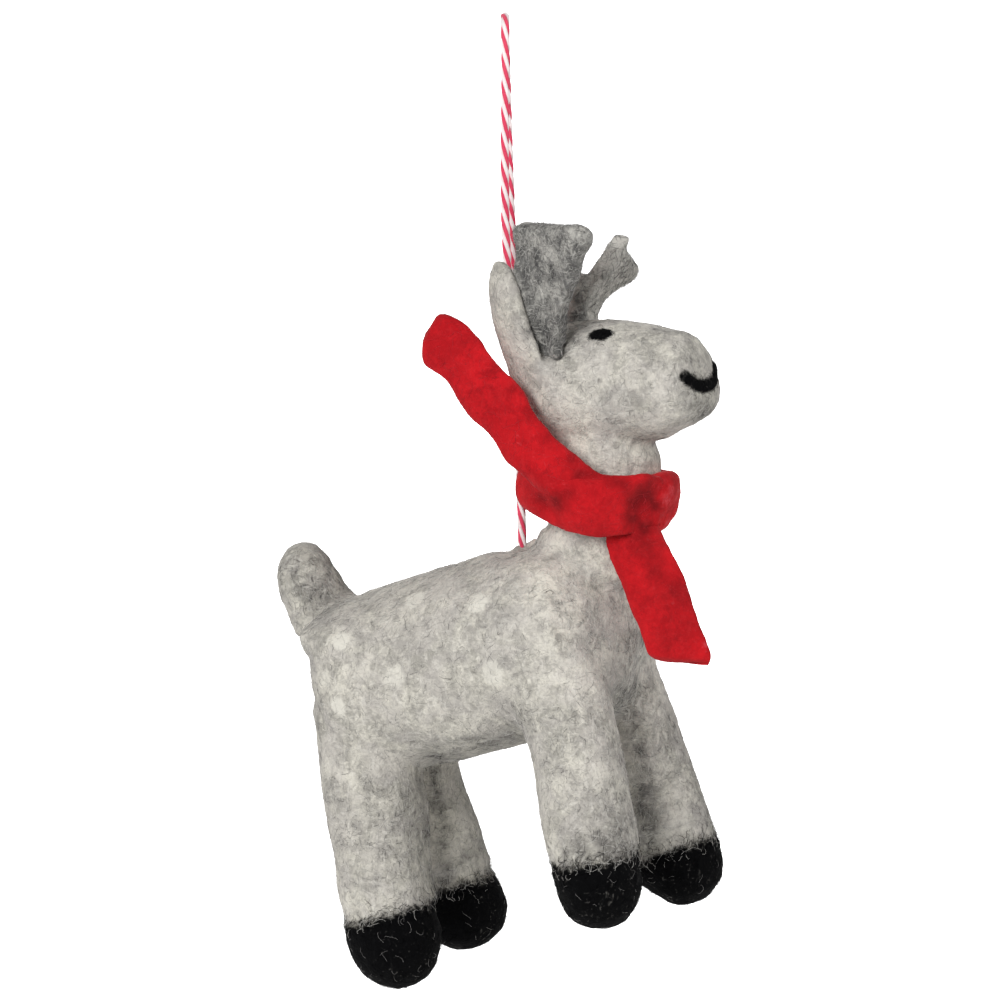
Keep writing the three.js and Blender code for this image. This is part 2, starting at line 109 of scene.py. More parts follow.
def trianglesOf(mesh):
    mesh.calc_loop_triangles()
    flat = np.empty(len(mesh.loop_triangles) * 3, int)
    mesh.loop_triangles.foreach_get("vertices", flat)
    return flat.reshape(-1, 3)


def ease(low, high, value):
    t = np.clip((value - low) / (high - low), 0, 1)
    return t * t * (3 - 2 * t)


def lumps(coords, size, seed):  # smooth noise from -1 to 1, one value for each place
    shift = Vector((seed * 3.7, seed * 1.9, seed * 5.3))
    return np.array([noise.noise(Vector(c) / size + shift) for c in coords])


def smoothLine(points, count):  # even places on one smooth curve through the points
    points = np.array(points, float)
    gaps = np.linalg.norm(np.diff(points, axis=0), axis=1)
    marks = np.concatenate([[0], np.cumsum(gaps)])
    slopes = np.diff(points, axis=0) / gaps[:, None]
    inner = (slopes[:-1] * gaps[1:, None] + slopes[1:] * gaps[:-1, None]) / (gaps[1:] + gaps[:-1])[:, None]
    tangents = np.vstack([slopes[:1], inner, slopes[-1:]])
    places = np.linspace(0, marks[-1], count)
    k = np.clip(np.searchsorted(marks, places, "right") - 1, 0, len(gaps) - 1)
    h = gaps[k][:, None]
    t = ((places - marks[k]) / gaps[k])[:, None]
    start, finish = points[k], points[k + 1]
    return (
        (2 * t**3 - 3 * t**2 + 1) * start + (t**3 - 2 * t**2 + t) * h * tangents[k]
        + (3 * t**2 - 2 * t**3) * finish + (t**3 - t**2) * h * tangents[k + 1]
    )


view = {"turn": 27, "climb": 9, "roll": 1.82, "lens": 300, "distance": 1.5, "aim": (-3.69, -87.77, 1.6)}

turn, climb, roll = (math.radians(view[k]) for k in ("turn", "climb", "roll"))
across = Vector((math.cos(turn), math.sin(turn), 0))
upward = Vector((-math.sin(turn) * math.sin(climb), math.cos(turn) * math.sin(climb), math.cos(climb)))
toward = Vector((math.sin(turn) * math.cos(climb), -math.cos(turn) * math.cos(climb), math.sin(climb)))
aim = (across * view["aim"][0] + upward * view["aim"][1] + Vector((0, 0, view["aim"][2]))) * mm

cameraData = bpy.data.cameras.new("camera")
cameraData.lens = view["lens"]
cameraData.sensor_width = 36
cameraData.clip_end = 60
camera = bpy.data.objects.new("camera", cameraData)
scene.collection.objects.link(camera)
eyeX = across * math.cos(roll) - upward * math.sin(roll)
eyeY = across * math.sin(roll) + upward * math.cos(roll)
camera.matrix_world = Matrix.Translation(aim + toward * view["distance"]) @ Matrix((eyeX, eyeY, toward)).transposed().to_4x4()
scene.camera = camera
print("camera set")


def put(tree, kind, inputs=None, **settings):
    node = tree.nodes.new(kind)
    for key, value in settings.items():
        setattr(node, key, value)
    for key, value in (inputs or {}).items():
        if isinstance(value, bpy.types.NodeSocket):
            tree.links.new(value, node.inputs[key])
        else:
            node.inputs[key].default_value = value
    return node


def newGroup(name, inputs, outputs):
    tree = bpy.data.node_groups.new(name, "ShaderNodeTree")
    for socket, (kind, value) in inputs.items():
        made = tree.interface.new_socket(socket, in_out="INPUT", socket_type=kind)
        if value is not None:
            made.default_value = value
    for socket in outputs:
        tree.interface.new_socket(socket, in_out="OUTPUT", socket_type="NodeSocketFloat")
    return tree, tree.nodes.new("NodeGroupInput").outputs, tree.nodes.new("NodeGroupOutput").inputs


def maths(tree, operation, a, b=0.5):
    return put(tree, "ShaderNodeMath", {0: a, 1: b}, operation=operation).outputs[0]


def blendOf(tree, share, a, b, mode="MIX"):
    node = put(tree, "ShaderNodeMix", {"Factor": share}, data_type="RGBA", blend_type=mode)
    for index, value in ((6, a), (7, b)):
        if isinstance(value, bpy.types.NodeSocket):
            tree.links.new(value, node.inputs[index])
        else:
            node.inputs[index].default_value = (*value, 1)
    return node.outputs[2]


# Short fibres: noise drawn out along one axis and bent by a softer noise
wispTree, given, gives = newGroup(
    "wispyFibres",
    {
        "Vector": ("NodeSocketVector", None),
        "Stretch": ("NodeSocketVector", (1, 1, 1)),
        "Density": ("NodeSocketFloat", 2400),
        "Bend": ("NodeSocketFloat", 0.004),
        "Seed": ("NodeSocketFloat", 0),
        "Rarity": ("NodeSocketFloat", 0.56),
    },
    ["Fibres"],
)
sway = put(wispTree, "ShaderNodeTexNoise", {"Vector": given["Vector"], "W": given["Seed"], "Scale": 240, "Detail": 2}, noise_dimensions="4D")
swayed = put(wispTree, "ShaderNodeVectorMath", {0: sway.outputs["Color"], 1: (0.5, 0.5, 0.5)}, operation="SUBTRACT")
swayed = put(wispTree, "ShaderNodeVectorMath", {0: swayed.outputs[0], "Scale": given["Bend"]}, operation="SCALE")
bent = put(wispTree, "ShaderNodeVectorMath", {0: given["Vector"], 1: swayed.outputs[0]}, operation="ADD")
drawn = put(wispTree, "ShaderNodeVectorMath", {0: bent.outputs[0], 1: given["Stretch"]}, operation="MULTIPLY")
wisp = put(
    wispTree, "ShaderNodeTexNoise",
    {"Vector": drawn.outputs[0], "W": given["Seed"], "Scale": given["Density"], "Detail": 1.5, "Roughness": 0.6},
    noise_dimensions="4D",
)
upper = maths(wispTree, "ADD", given["Rarity"], 0.14)
thin = put(wispTree, "ShaderNodeMapRange", {"Value": wisp.outputs[0], 1: given["Rarity"], 2: upper}, interpolation_type="SMOOTHSTEP")
wispTree.links.new(thin.outputs[0], gives["Fibres"])


def cloudNode(tree, vector, seed, scale, detail, low, high, distortion=0.6):
    noisy = put(
        tree, "ShaderNodeTexNoise",
        {"Vector": vector, "W": seed, "Scale": scale, "Detail": detail, "Roughness": 0.6, "Distortion": distortion},
        noise_dimensions="4D",
    )
    ranged = put(tree, "ShaderNodeMapRange", {"Value": noisy.outputs[0], 1: low, 2: high}, interpolation_type="SMOOTHSTEP")
    return ranged.outputs[0]


def seeded(tree, seed, shift):
    return maths(tree, "ADD", seed, shift)


# Carded wool: cloudy patches at three sizes, pale and dark fibres, tint and height
woolTree, given, gives = newGroup(
    "cardedWool",
    {
        "Vector": ("NodeSocketVector", None),
        "Patch Scale": ("NodeSocketFloat", 130),
        "Fibre Density": ("NodeSocketFloat", 1500),
        "Seed": ("NodeSocketFloat", 0),
    },
    ["Patches", "Blotches", "Tint", "Pale Fibres", "Dark Fibres", "Height"],
)
place, seed = given["Vector"], given["Seed"]
broad = cloudNode(woolTree, place, seed, given["Patch Scale"], 3, 0.34, 0.66)
middling = cloudNode(woolTree, place, seeded(woolTree, seed, 3), maths(woolTree, "MULTIPLY", given["Patch Scale"], 3.4), 3, 0.36, 0.64, 1.2)
small = cloudNode(woolTree, place, seeded(woolTree, seed, 6), maths(woolTree, "MULTIPLY", given["Patch Scale"], 10), 3, 0.36, 0.66, 1.5)
patches = maths(
    woolTree, "ADD", maths(woolTree, "MULTIPLY", broad, 0.42),
    maths(woolTree, "ADD", maths(woolTree, "MULTIPLY", middling, 0.33), maths(woolTree, "MULTIPLY", small, 0.25)),
)
blotches = cloudNode(woolTree, place, seeded(woolTree, seed, 9), maths(woolTree, "MULTIPLY", given["Patch Scale"], 1.9), 5, 0.5, 0.74, 1)
tint = cloudNode(woolTree, place, seeded(woolTree, seed, 12), maths(woolTree, "MULTIPLY", given["Patch Scale"], 1.3), 3, 0.35, 0.65)


def fibreLayer(stretch, shift, rarity, density=1.0):
    layer = put(woolTree, "ShaderNodeGroup", node_tree=wispTree)
    layer.inputs["Stretch"].default_value = stretch
    layer.inputs["Rarity"].default_value = rarity
    woolTree.links.new(place, layer.inputs["Vector"])
    woolTree.links.new(seeded(woolTree, seed, shift), layer.inputs["Seed"])
    woolTree.links.new(maths(woolTree, "MULTIPLY", given["Fibre Density"], density), layer.inputs["Density"])
    return layer.outputs[0]


palest = maths(woolTree, "MAXIMUM", fibreLayer((1, 1, 0.2), 20, 0.55), fibreLayer((0.2, 1, 1), 21, 0.55, 1.2))
darkest = maths(woolTree, "MAXIMUM", fibreLayer((0.25, 1, 0.7), 22, 0.58, 1.1), fibreLayer((0.8, 1, 0.22), 23, 0.58, 1.3))
height = maths(
    woolTree, "ADD", maths(woolTree, "MULTIPLY", maths(woolTree, "MAXIMUM", palest, darkest), 0.35),
    maths(woolTree, "ADD", maths(woolTree, "MULTIPLY", small, 0.4), maths(woolTree, "MULTIPLY", middling, 0.5)),
)
spread = put(woolTree, "ShaderNodeMapRange", {"Value": patches, 1: 0.22, 2: 0.78}, interpolation_type="LINEAR")
for socket, value in (
    ("Patches", spread.outputs[0]), ("Blotches", blotches), ("Tint", tint), ("Pale Fibres", palest), ("Dark Fibres", darkest), ("Height", height),
):
    woolTree.links.new(value, gives[socket])


def newMaterial(name, roughness=0.95, sheen=0.08, sheenRoughness=0.5, gloss=0.12):
    material = bpy.data.materials.new(name)
    material.use_nodes = True
    tree = material.node_tree
    shader = tree.nodes["Principled BSDF"]
    shader.inputs["Roughness"].default_value = roughness
    shader.inputs["Specular IOR Level"].default_value = gloss
    shader.inputs["Sheen Weight"].default_value = sheen
    shader.inputs["Sheen Roughness"].default_value = sheenRoughness
    return material, tree, shader


def woolLook(name, colours, patchScale=130, density=1500, seed=0, depth=0.16, paleShare=0.4, darkShare=0.4, blotchShare=0.6, grit=0.3, painted=(), **finish):
    # colours run from mid to pale in patches; "painted" names mesh attributes and the colour each brings in
    material, tree, shader = newMaterial(name, **finish)
    wool = put(tree, "ShaderNodeGroup", {}, node_tree=woolTree)
    tree.links.new(put(tree, "ShaderNodeTexCoord").outputs["Object"], wool.inputs["Vector"])
    for socket, value in (("Patch Scale", patchScale), ("Fibre Density", density), ("Seed", seed)):
        wool.inputs[socket].default_value = value
    colour = blendOf(tree, wool.outputs["Patches"], colours["mid"], colours["pale"])
    colour = blendOf(tree, maths(tree, "MULTIPLY", wool.outputs["Tint"], 0.5), colour, colours["tint"])
    darkness = maths(tree, "MULTIPLY", wool.outputs["Blotches"], blotchShare)
    for attribute, tone in painted:
        mask = put(tree, "ShaderNodeAttribute", attribute_name=attribute).outputs["Fac"]
        if attribute == "shade":
            darkness = maths(tree, "MAXIMUM", darkness, mask)
    grain = maths(tree, "ADD", maths(tree, "MULTIPLY", wool.outputs["Dark Fibres"], grit), 0.97 - grit)
    colour = blendOf(tree, maths(tree, "MULTIPLY", darkness, grain), colour, colours["dark"])
    flecks = maths(tree, "MULTIPLY", wool.outputs["Dark Fibres"], maths(tree, "ADD", maths(tree, "MULTIPLY", darkness, 0.8), 0.35))
    colour = blendOf(tree, maths(tree, "MULTIPLY", flecks, darkShare), colour, colours["dark"])
    colour = blendOf(tree, maths(tree, "MULTIPLY", wool.outputs["Pale Fibres"], paleShare), colour, colours["hair"])
    uneven = maths(tree, "MULTIPLY", maths(tree, "SUBTRACT", wool.outputs["Dark Fibres"], wool.outputs["Pale Fibres"]), 0.16)
    uneven = maths(tree, "ADD", uneven, maths(tree, "MULTIPLY", maths(tree, "SUBTRACT", wool.outputs["Patches"]), 0.25))
    for attribute, tone in painted:
        if attribute != "shade":
            mask = put(tree, "ShaderNodeAttribute", attribute_name=attribute).outputs["Fac"]
            ragged = put(tree, "ShaderNodeMapRange", {"Value": maths(tree, "ADD", mask, uneven), 1: 0.12, 2: 0.88}, interpolation_type="SMOOTHSTEP")
            lit = blendOf(tree, maths(tree, "MULTIPLY", wool.outputs["Pale Fibres"], 0.16), tone, tuple(min(c * 3 + 0.004, c + 0.1) for c in tone))
            colour = blendOf(tree, ragged.outputs[0], colour, lit)
    tree.links.new(colour, shader.inputs["Base Color"])
    bump = put(tree, "ShaderNodeBump", {"Height": wool.outputs["Height"], "Strength": 0.7, "Distance": depth * mm})
    tree.links.new(bump.outputs[0], shader.inputs["Normal"])
    return material


greyWool = {
    "pale": (0.68, 0.65, 0.57), "mid": (0.34, 0.325, 0.29), "tint": (0.468, 0.438, 0.415),
    "dark": (0.07, 0.066, 0.063), "hair": (0.80, 0.775, 0.71),
}
# the cream tone paints the cream spots and also painted light on the far legs and the far antler
cream, black = (0.68, 0.655, 0.585), (0.0022, 0.0022, 0.0025)
fleece = {"darkShare": 0.56, "paleShare": 0.27, "blotchShare": 0.56, "painted": (("shade", None), ("cream", cream), ("soot", black))}
greyFelt, creamFelt = (woolLook(name, greyWool, **fleece) for name in ("greyFelt", "creamFelt"))
blackFelt = woolLook("blackFelt", greyWool, sheen=0.02, gloss=0.04, **fleece)
antlerFelt = woolLook(
    "antlerFelt",
    {"pale": (0.50, 0.485, 0.445), "mid": (0.12, 0.118, 0.113), "tint": (0.25, 0.245, 0.232), "dark": (0.03, 0.03, 0.03), "hair": (0.66, 0.64, 0.59)},
    patchScale=170, seed=20, depth=0.22, paleShare=0.42, darkShare=0.7, painted=(("shade", None), ("cream", (0.56, 0.54, 0.495))),
)
# red felt; its pale pink paint is a painted sheen on the scarf's lit edges, partly pale fuzz
redFelt = woolLook(
    "redFelt",
    {"pale": (0.56, 0.009, 0.014), "mid": (0.36, 0.005, 0.009), "tint": (0.45, 0.007, 0.011), "dark": (0.13, 0.003, 0.005), "hair": (0.64, 0.04, 0.045)},
    patchScale=95, seed=57, depth=0.09, paleShare=0.1, darkShare=0.12, blotchShare=0.2, grit=0.1, sheen=0.05,
    painted=(("shade", None), ("paintedSheenAndFuzz", (0.66, 0.11, 0.13))),
)


def hairLook(name, colour, vary=0.3, **finish):  # single hairs, each patch of them a little lighter or darker
    material, tree, shader = newMaterial(name, **finish)
    place = put(tree, "ShaderNodeTexCoord").outputs["Object"]
    tone = put(tree, "ShaderNodeTexNoise", {"Vector": place, "Scale": 700, "Detail": 1}).outputs[0]
    dim = tuple(c * (1 - vary) for c in colour)
    lit = tuple(min(c * (1 + vary), 1) for c in colour)
    tree.links.new(blendOf(tree, tone, dim, lit), shader.inputs["Base Color"])
    return material


paleHair = hairLook("paleHair", (0.62, 0.605, 0.57))
greyHair = hairLook("greyHair", (0.30, 0.29, 0.28))
darkHair = hairLook("darkHair", (0.10, 0.098, 0.098))
blackHair = hairLook("blackHair", (0.003, 0.003, 0.0035), sheen=0.0, gloss=0.03)
redHair = hairLook("redHair", (0.50, 0.02, 0.03))
print("materials made")

twine = {
    "ply": 0.37, "ring": 0.43, "lay": 9.7, "steps": 520, "sides": 8, "diameter": 1.6,  # mm
    "half": [
        (-0.16, 0.32, -96.6), (-0.25, 0.49, -93.8), (-0.25, 0.49, -89.5), (-0.4, 0.8, -85.6), (-0.45, 0.89, -83.9),
        (-0.46, 0.91, -79.5), (-0.42, 1.16, -68.03), (-0.38, 1.64, -51.78), (-0.5, 2.19, -36.96), (-0.91, 2.67, -25.01),
        (-1.35, 2.98, -11.63), (-1.54, 3.03, -2.6), (-1.44, 2.82, -1.32), (-1.08, 2.12, -0.18),
    ],
    "sway": [(-200, 0.15), (-82, 0.15), (-68, 0), (-52, -0.5), (-36, -0.66), (-24, -0.55), (-10, -0.2), (0, -0.05), (2, 0)],  # z, shift in x
}


def buildTwine():
    route = twine["half"] + [(0, 0, 0.8)] + [(-x, -y, z) for x, y, z in reversed(twine["half"])]
    middle = smoothLine(np.array(route) * mm, twine["steps"])
    middle[:, 0] += np.interp(middle[:, 2] / mm, *np.array(twine["sway"]).T) * mm
    run = np.gradient(middle, axis=0)
    run /= np.linalg.norm(run, axis=1)[:, None]
    gone = np.concatenate([[0], np.cumsum(np.linalg.norm(np.diff(middle, axis=0), axis=1))])
    normal = Vector((1, 0, 0))
    plies = [[] for _ in range(4)]
    for place, heading, distance in zip(middle, run, gone):
        heading = Vector(heading)
        normal = (normal - heading * normal.dot(heading)).normalized()
        cross = heading.cross(normal)
        for k in range(4):
            angle = -2 * math.pi * distance / (twine["lay"] * mm) + k * math.pi / 2
            out = normal * math.cos(angle) + cross * math.sin(angle)
            plies[k].append(Vector(place) + out * (twine["ring"] * mm))
    strands = []
    for k, points in enumerate(plies):
        curve = bpy.data.curves.new("ply", "CURVE")
        curve.dimensions = "3D"
        curve.bevel_depth = twine["ply"] * mm
        curve.bevel_resolution = (twine["sides"] - 4) // 2
        curve.use_fill_caps = True
        spline = curve.splines.new("POLY")
        spline.points.add(len(points) - 1)
        spline.points.foreach_set("co", [c for p in points for c in (*p, 1)])
        ply = settle(addObject(f"ply{k}", curve))
        dyed = ply.data.attributes.new("dyed", "FLOAT", "POINT")
        dyed.data.foreach_set("value", np.full(len(ply.data.vertices), float(k % 2)))
        strands.append(ply)
    with bpy.context.temp_override(active_object=strands[0], selected_editable_objects=strands):
        bpy.ops.object.join()
    cord = strands[0]
    cord.name = "bakersTwine"
    return cord, middle, gone[-1]


def twineLook():
    material, tree, shader = newMaterial("twineCotton", roughness=0.85, sheen=0.3)
    dyed = put(tree, "ShaderNodeAttribute", attribute_name="dyed").outputs["Fac"]
    place = put(tree, "ShaderNodeTexCoord").outputs["Object"]
    tone = put(tree, "ShaderNodeTexNoise", {"Vector": place, "Scale": 900, "Detail": 3, "Distortion": 0.6}).outputs[0]
    red = blendOf(tree, tone, (0.62, 0.02, 0.075), (0.80, 0.09, 0.16))
    white = blendOf(tree, tone, (0.84, 0.72, 0.72), (0.93, 0.88, 0.87))
    tree.links.new(blendOf(tree, dyed, white, red), shader.inputs["Base Color"])
    lines = put(tree, "ShaderNodeTexWave", {"Vector": place, "Scale": 900, "Distortion": 3, "Detail": 2}, bands_direction="DIAGONAL")
    bump = put(tree, "ShaderNodeBump", {"Height": lines.outputs["Fac"], "Strength": 0.6, "Distance": 0.06 * mm})
    tree.links.new(bump.outputs[0], shader.inputs["Normal"])
    return material


cord, cordPath, cordLength = buildTwine()
dress(cord, twineLook())
print("twine", round(cordLength * 1000, 1), "mm,", len(cord.data.polygons), "faces")

skinSpec = {"swell": 0.3, "voxel": 0.52, "passes": 30, "tighten": 0.14, "lumps": [(9, 0.3), (3.2, 0.12), (1.3, 0.06)]}


def united(name, nodeNames, swell, voxel):  # copies of CAD nodes, grown together into one skin
    bm = bmesh.new()
    for nodeName in nodeNames:
        bm.from_mesh(nodes[nodeName].data)
    bmesh.ops.remove_doubles(bm, verts=bm.verts, dist=1e-6)
    bm.normal_update()
    for vert in bm.verts:
        vert.co += vert.normal * (swell * mm)
    obj = fromBmesh(name, bm)
    remesh = obj.modifiers.new("remesh", "REMESH")
    remesh.mode = "VOXEL"
    remesh.voxel_size = voxel * mm
    return settle(obj)


def neighbourMeans(mesh):
    flat = np.empty(len(mesh.edges) * 2, int)
    mesh.edges.foreach_get("vertices", flat)
    a, b = flat.reshape(-1, 2).T
    count = len(mesh.vertices)
    degree = np.bincount(a, minlength=count) + np.bincount(b, minlength=count)

    def means(coords):
        sums = [np.bincount(a, coords[b, k], count) + np.bincount(b, coords[a, k], count) for k in range(3)]
        return np.array(sums).T / degree[:, None]
    return means


def evened(obj, passes, tighten):  # facets are smoothed without shrinking the ends, and creases fill in softly
    mesh = obj.data
    means = neighbourMeans(mesh)
    kept, filled = coordsOf(mesh), coordsOf(mesh)
    for _ in range(passes):
        kept += 0.5 * (means(kept) - kept)
        kept -= 0.52 * (means(kept) - kept)
        filled += 0.5 * (means(filled) - filled)
    mesh.vertices.foreach_set("co", kept.ravel())
    mesh.update()
    normals = normalsOf(mesh)
    lift = np.clip(np.sum((filled - kept) * normals, axis=1), 0, None)
    for _ in range(4):
        lift = 0.5 * (lift + means(np.repeat(lift[:, None], 3, axis=1))[:, 0])
    mesh.vertices.foreach_set("co", (kept + normals * (lift - tighten * mm)[:, None]).ravel())
    mesh.update()


def roughen(obj, waves, seed):
    mesh = obj.data
    coords, normals = coordsOf(mesh), normalsOf(mesh)
    for k, (size, rise) in enumerate(waves):
        coords += normals * (lumps(coords, size * mm, seed + k) * rise * mm)[:, None]
    mesh.vertices.foreach_set("co", coords.ravel())
    mesh.update()


def paint(obj, label, values):
    obj.data.attributes.new(label, "FLOAT", "POINT").data.foreach_set("value", np.clip(values, 0, 1))


def heights(coords):
    return (coords - np.array(entry)) @ np.array(aloft)


flanks = ("right", "left")
limbs = [f"{flank}_{pair}" for flank in flanks for pair in ("hind", "fore")]
skinNodes = ["torso", "neck", "head", "tail", "twine_anchor", "right_ear", "left_ear"]
skinNodes += [f"{limb}_{part}" for limb in limbs for part in ("leg", "hoof")]
skin = united("feltBody", skinNodes, skinSpec["swell"], skinSpec["voxel"])
evened(skin, skinSpec["passes"], skinSpec["tighten"])
roughen(skin, skinSpec["lumps"], 3)


def treeOf(obj):
    return BVHTree.FromPolygons([Vector(c) for c in coordsOf(obj.data)], trianglesOf(obj.data).tolist())


def sightLine(px, py):  # the camera's line through a place in the picture
    ray = camera.matrix_world.to_3x3() @ Vector(((px - 500) / 1000 * 36 / view["lens"], (500 - py) / 1000 * 36 / view["lens"], -1))
    return camera.matrix_world.translation, ray.normalized()


def seenFrom(coords):  # where the camera sees each place, in dots of a picture 1000 wide
    local = (coords - np.array(camera.matrix_world.translation)) @ np.array(camera.matrix_world.to_3x3())
    flat = local[:, :2] / -local[:, 2:] * view["lens"] / 36 * 1000
    return np.array([500 + flat[:, 0], 500 - flat[:, 1]]).T


def coax(obj, pulls, share=1.0, reach=28):  # pulls: a place in the picture and its shift right and down, all in dots
    pulls = np.array(pulls, float)
    spots, shifts = pulls[:, :2], pulls[:, 2:]

    def nearness(a):
        return np.exp(-np.sum((a[:, None] - spots[None]) ** 2, axis=2) / reach**2)
    weights = np.linalg.solve(nearness(spots) + 0.08 * np.eye(len(spots)), shifts)
    coords = coordsOf(obj.data)
    shift = np.clip(nearness(seenFrom(coords)) @ weights, -20, 20) * np.reshape(share, (-1, 1)) * dot
    coords += shift[:, :1] * np.array(eyeX) - shift[:, 1:] * np.array(eyeY)
    obj.data.vertices.foreach_set("co", coords.ravel())
    obj.data.update()


dot = view["distance"] * 0.036 / view["lens"]
wholePulls = [  # head, ear, neck, back, tail, belly
    (618, 320, 0, 2), (640, 323, 0, 3.5), (668, 327, 0, 5), (690, 333, -1, 8), (703, 345, -4, 5), (712, 360, -2, 2), (718, 385, 2.5, 0),
    (719, 402, 6, 2), (704, 420, 0, -2), (692, 426, 0, -3), (672, 434, 0, 3), (657, 440, 3, 4), (657, 455, 6, 0),
    (658, 468, 8, 0), (600, 370, 0, 0), (650, 370, 0, 0), (560, 400, 0, 0), (600, 322, 0, 1.5), (500, 262, 3, -1),
    (489, 272, 2.5, 0), (488, 290, 1.5, 0), (491, 320, 1.5, 0), (497, 345, 1.5, 0), (506, 370, 1.5, 0), (513, 272, 4, 0),
    (527, 310, 2, 0), (537, 340, 2, 0), (522, 395, -4, 0), (530, 410, -6, 0), (530, 530, 14, 2), (534, 541, 5, 1), (545, 520, 11, 0), (514, 546, 0, 4), (362, 590, 0, 6), (385, 585, 0, 5), (410, 578, 0, 3), (440, 568, 0, 0),
    (470, 559, 0, -1.5), (495, 553, 0, -1.5), (326, 546, -8, 2), (335, 560, -7, 2), (345, 577, -5, 3), (354, 590, -2, 5), (285, 560, -4, 0),
    (283, 575, -6, 0), (287, 590, -9, 0), (291, 605, -13, 0), (299, 620, -12, 0), (306, 637, -19, 0), (310, 652, -6, 0),
    (311, 670, 1.5, 0), (313, 692, 1.5, 0), (470, 752, 0, 4), (495, 745, 0, 4), (515, 740, 0, 4), (400, 650, 0, 0),
    (480, 650, 0, 0), (560, 650, 0, 0), (560, 570, 0, 0), (600, 600, 0, 0), (440, 700, 0, 0), (350, 700, 0, 0),
]
nearPulls = [  # the legs on the near side
    (324, 760, -2.5, 0), (328, 800, -6, 0), (333, 840, -9, 0), (339, 880, -11, 0), (343, 907, -11.5, 0), (347, 928, -9.5, 0), (348, 948, -8, 0),
    (357, 965, -4, 4), (392, 982, 0, 6), (426, 790, 0, 0), (433, 830, -4, 0), (438, 860, -8, 0), (442, 890, -9, 0),
    (444, 920, -8, 0), (446, 950, -9.5, 0), (436, 972, -4, 2), (524, 748, 9, 0), (529, 775, 7, 0), (534, 800, 5, 0),
    (541, 840, 2, 0), (547, 875, 4, 0), (553, 900, 7, -3), (568, 920, 3, -3), (600, 800, 0, 0), (600, 860, 0, 0),
    (646, 885, -4, 0), (640, 905, -4, -1), (625, 920, 0, 0), (400, 700, 0, 0), (560, 700, 0, 0),
]
farPulls = [  # the legs on the far side
    (464, 770, -6, 0), (472, 800, -5, 0), (486, 840, -5, 0), (497, 860, -7, 0), (502, 880, -4, 0), (505, 905, 2, 2),
    (502, 922, 8, 9), (486, 937, 3, 14), (462, 942, 0, 13), (450, 937, -2, 10), (662, 660, -12, 0), (668, 680, -12, 0),
    (674, 700, -8, 0), (680, 720, -6, 0), (686, 740, -5, 0), (694, 770, -2, 0), (700, 800, 0, 0), (718, 860, 4, 0),
    (717, 880, 11, 7), (705, 895, 8, 13), (682, 900, 0, 12), (658, 896, 4, 3), (620, 640, 0, 0),
]
lastPulls = {  # small steps at the hoof rims and behind the twine
    "near": [
        (342, 929, 3.5, 0), (345, 920, 0, 0), (347, 945, 0, 0), (350, 930, 1, 0), (548, 873, 4.5, 0), (553, 887, 2.5, 0), (549, 852, 0, 0), (563, 905, 1, 0),
    ],
    "far": [(484, 854, 2, 0), (494, 868, -4, 0), (499, 880, -2, 0), (505, 905, 1, 0)],
    "whole": [
        (537, 541, 0, -3.5), (543, 534, -2, -3), (546, 521, 4, 1), (531, 540, 0, 2), (525, 542, 0, 5), (519, 545, 0, 2), (556, 530, 0, 0),
        (282, 595, 0, 0), (285, 608, 1.5, 0), (288, 620, 3.4, 0), (291, 628, 4, 0), (302, 637, -2, 0), (302, 644, 1, 0), (305, 658, 3.5, 0),
        (308, 666, 1.5, 0), (314, 690, 0, 0), (325, 550, -2, 0), (335, 565, -2, 0), (346, 584, -1.5, 0), (358, 594, 0, 1),
    ],
}
farShare = ease(-2 * mm, 2 * mm, coordsOf(skin.data)[:, 1])
coax(skin, wholePulls)
coax(skin, nearPulls, 1 - farShare)
coax(skin, farPulls, farShare)
coax(skin, lastPulls["near"], 1 - farShare, reach=9)
coax(skin, lastPulls["far"], farShare, reach=9)
coax(skin, lastPulls["whole"], reach=8)
skinTree = treeOf(skin)
print("skin", len(skin.data.vertices), "points")


def seenAt(px, py):
    return skinTree.ray_cast(*sightLine(px, py))[0]


def inPlane(px, py, depth):  # where that line crosses the upright plane at this Y, in mm
    start, ray = sightLine(px, py)
    return start + ray * ((depth * mm - start.y) / ray.y)


def awayFrom(centres):
    centres = np.array(centres)
    return lambda coords: np.min(np.linalg.norm(coords[:, None, :] - centres[None], axis=2), axis=1)


nearSpots = [  # picture place, strength, size
    (415, 600, 1.1, 1.1), (478, 603, 0.95, 1.1), (341, 641, 0.85, 1), (453, 648, 0.4, 1.3), (394, 677, 0.7, 1.3), (492, 672, 0.75, 1.3),
    (325, 677, 0.5, 1), (338, 706, 1, 1), (467, 621, 0.3, 1),
]


def spotPlaces():
    places = []
    for px, py, *_ in nearSpots:
        hit = seenAt(px, py)
        places += [(hit.x, hit.y, hit.z), tuple(skinTree.find_nearest(Vector((hit.x, -hit.y, hit.z)))[0])]
    return np.array(places)


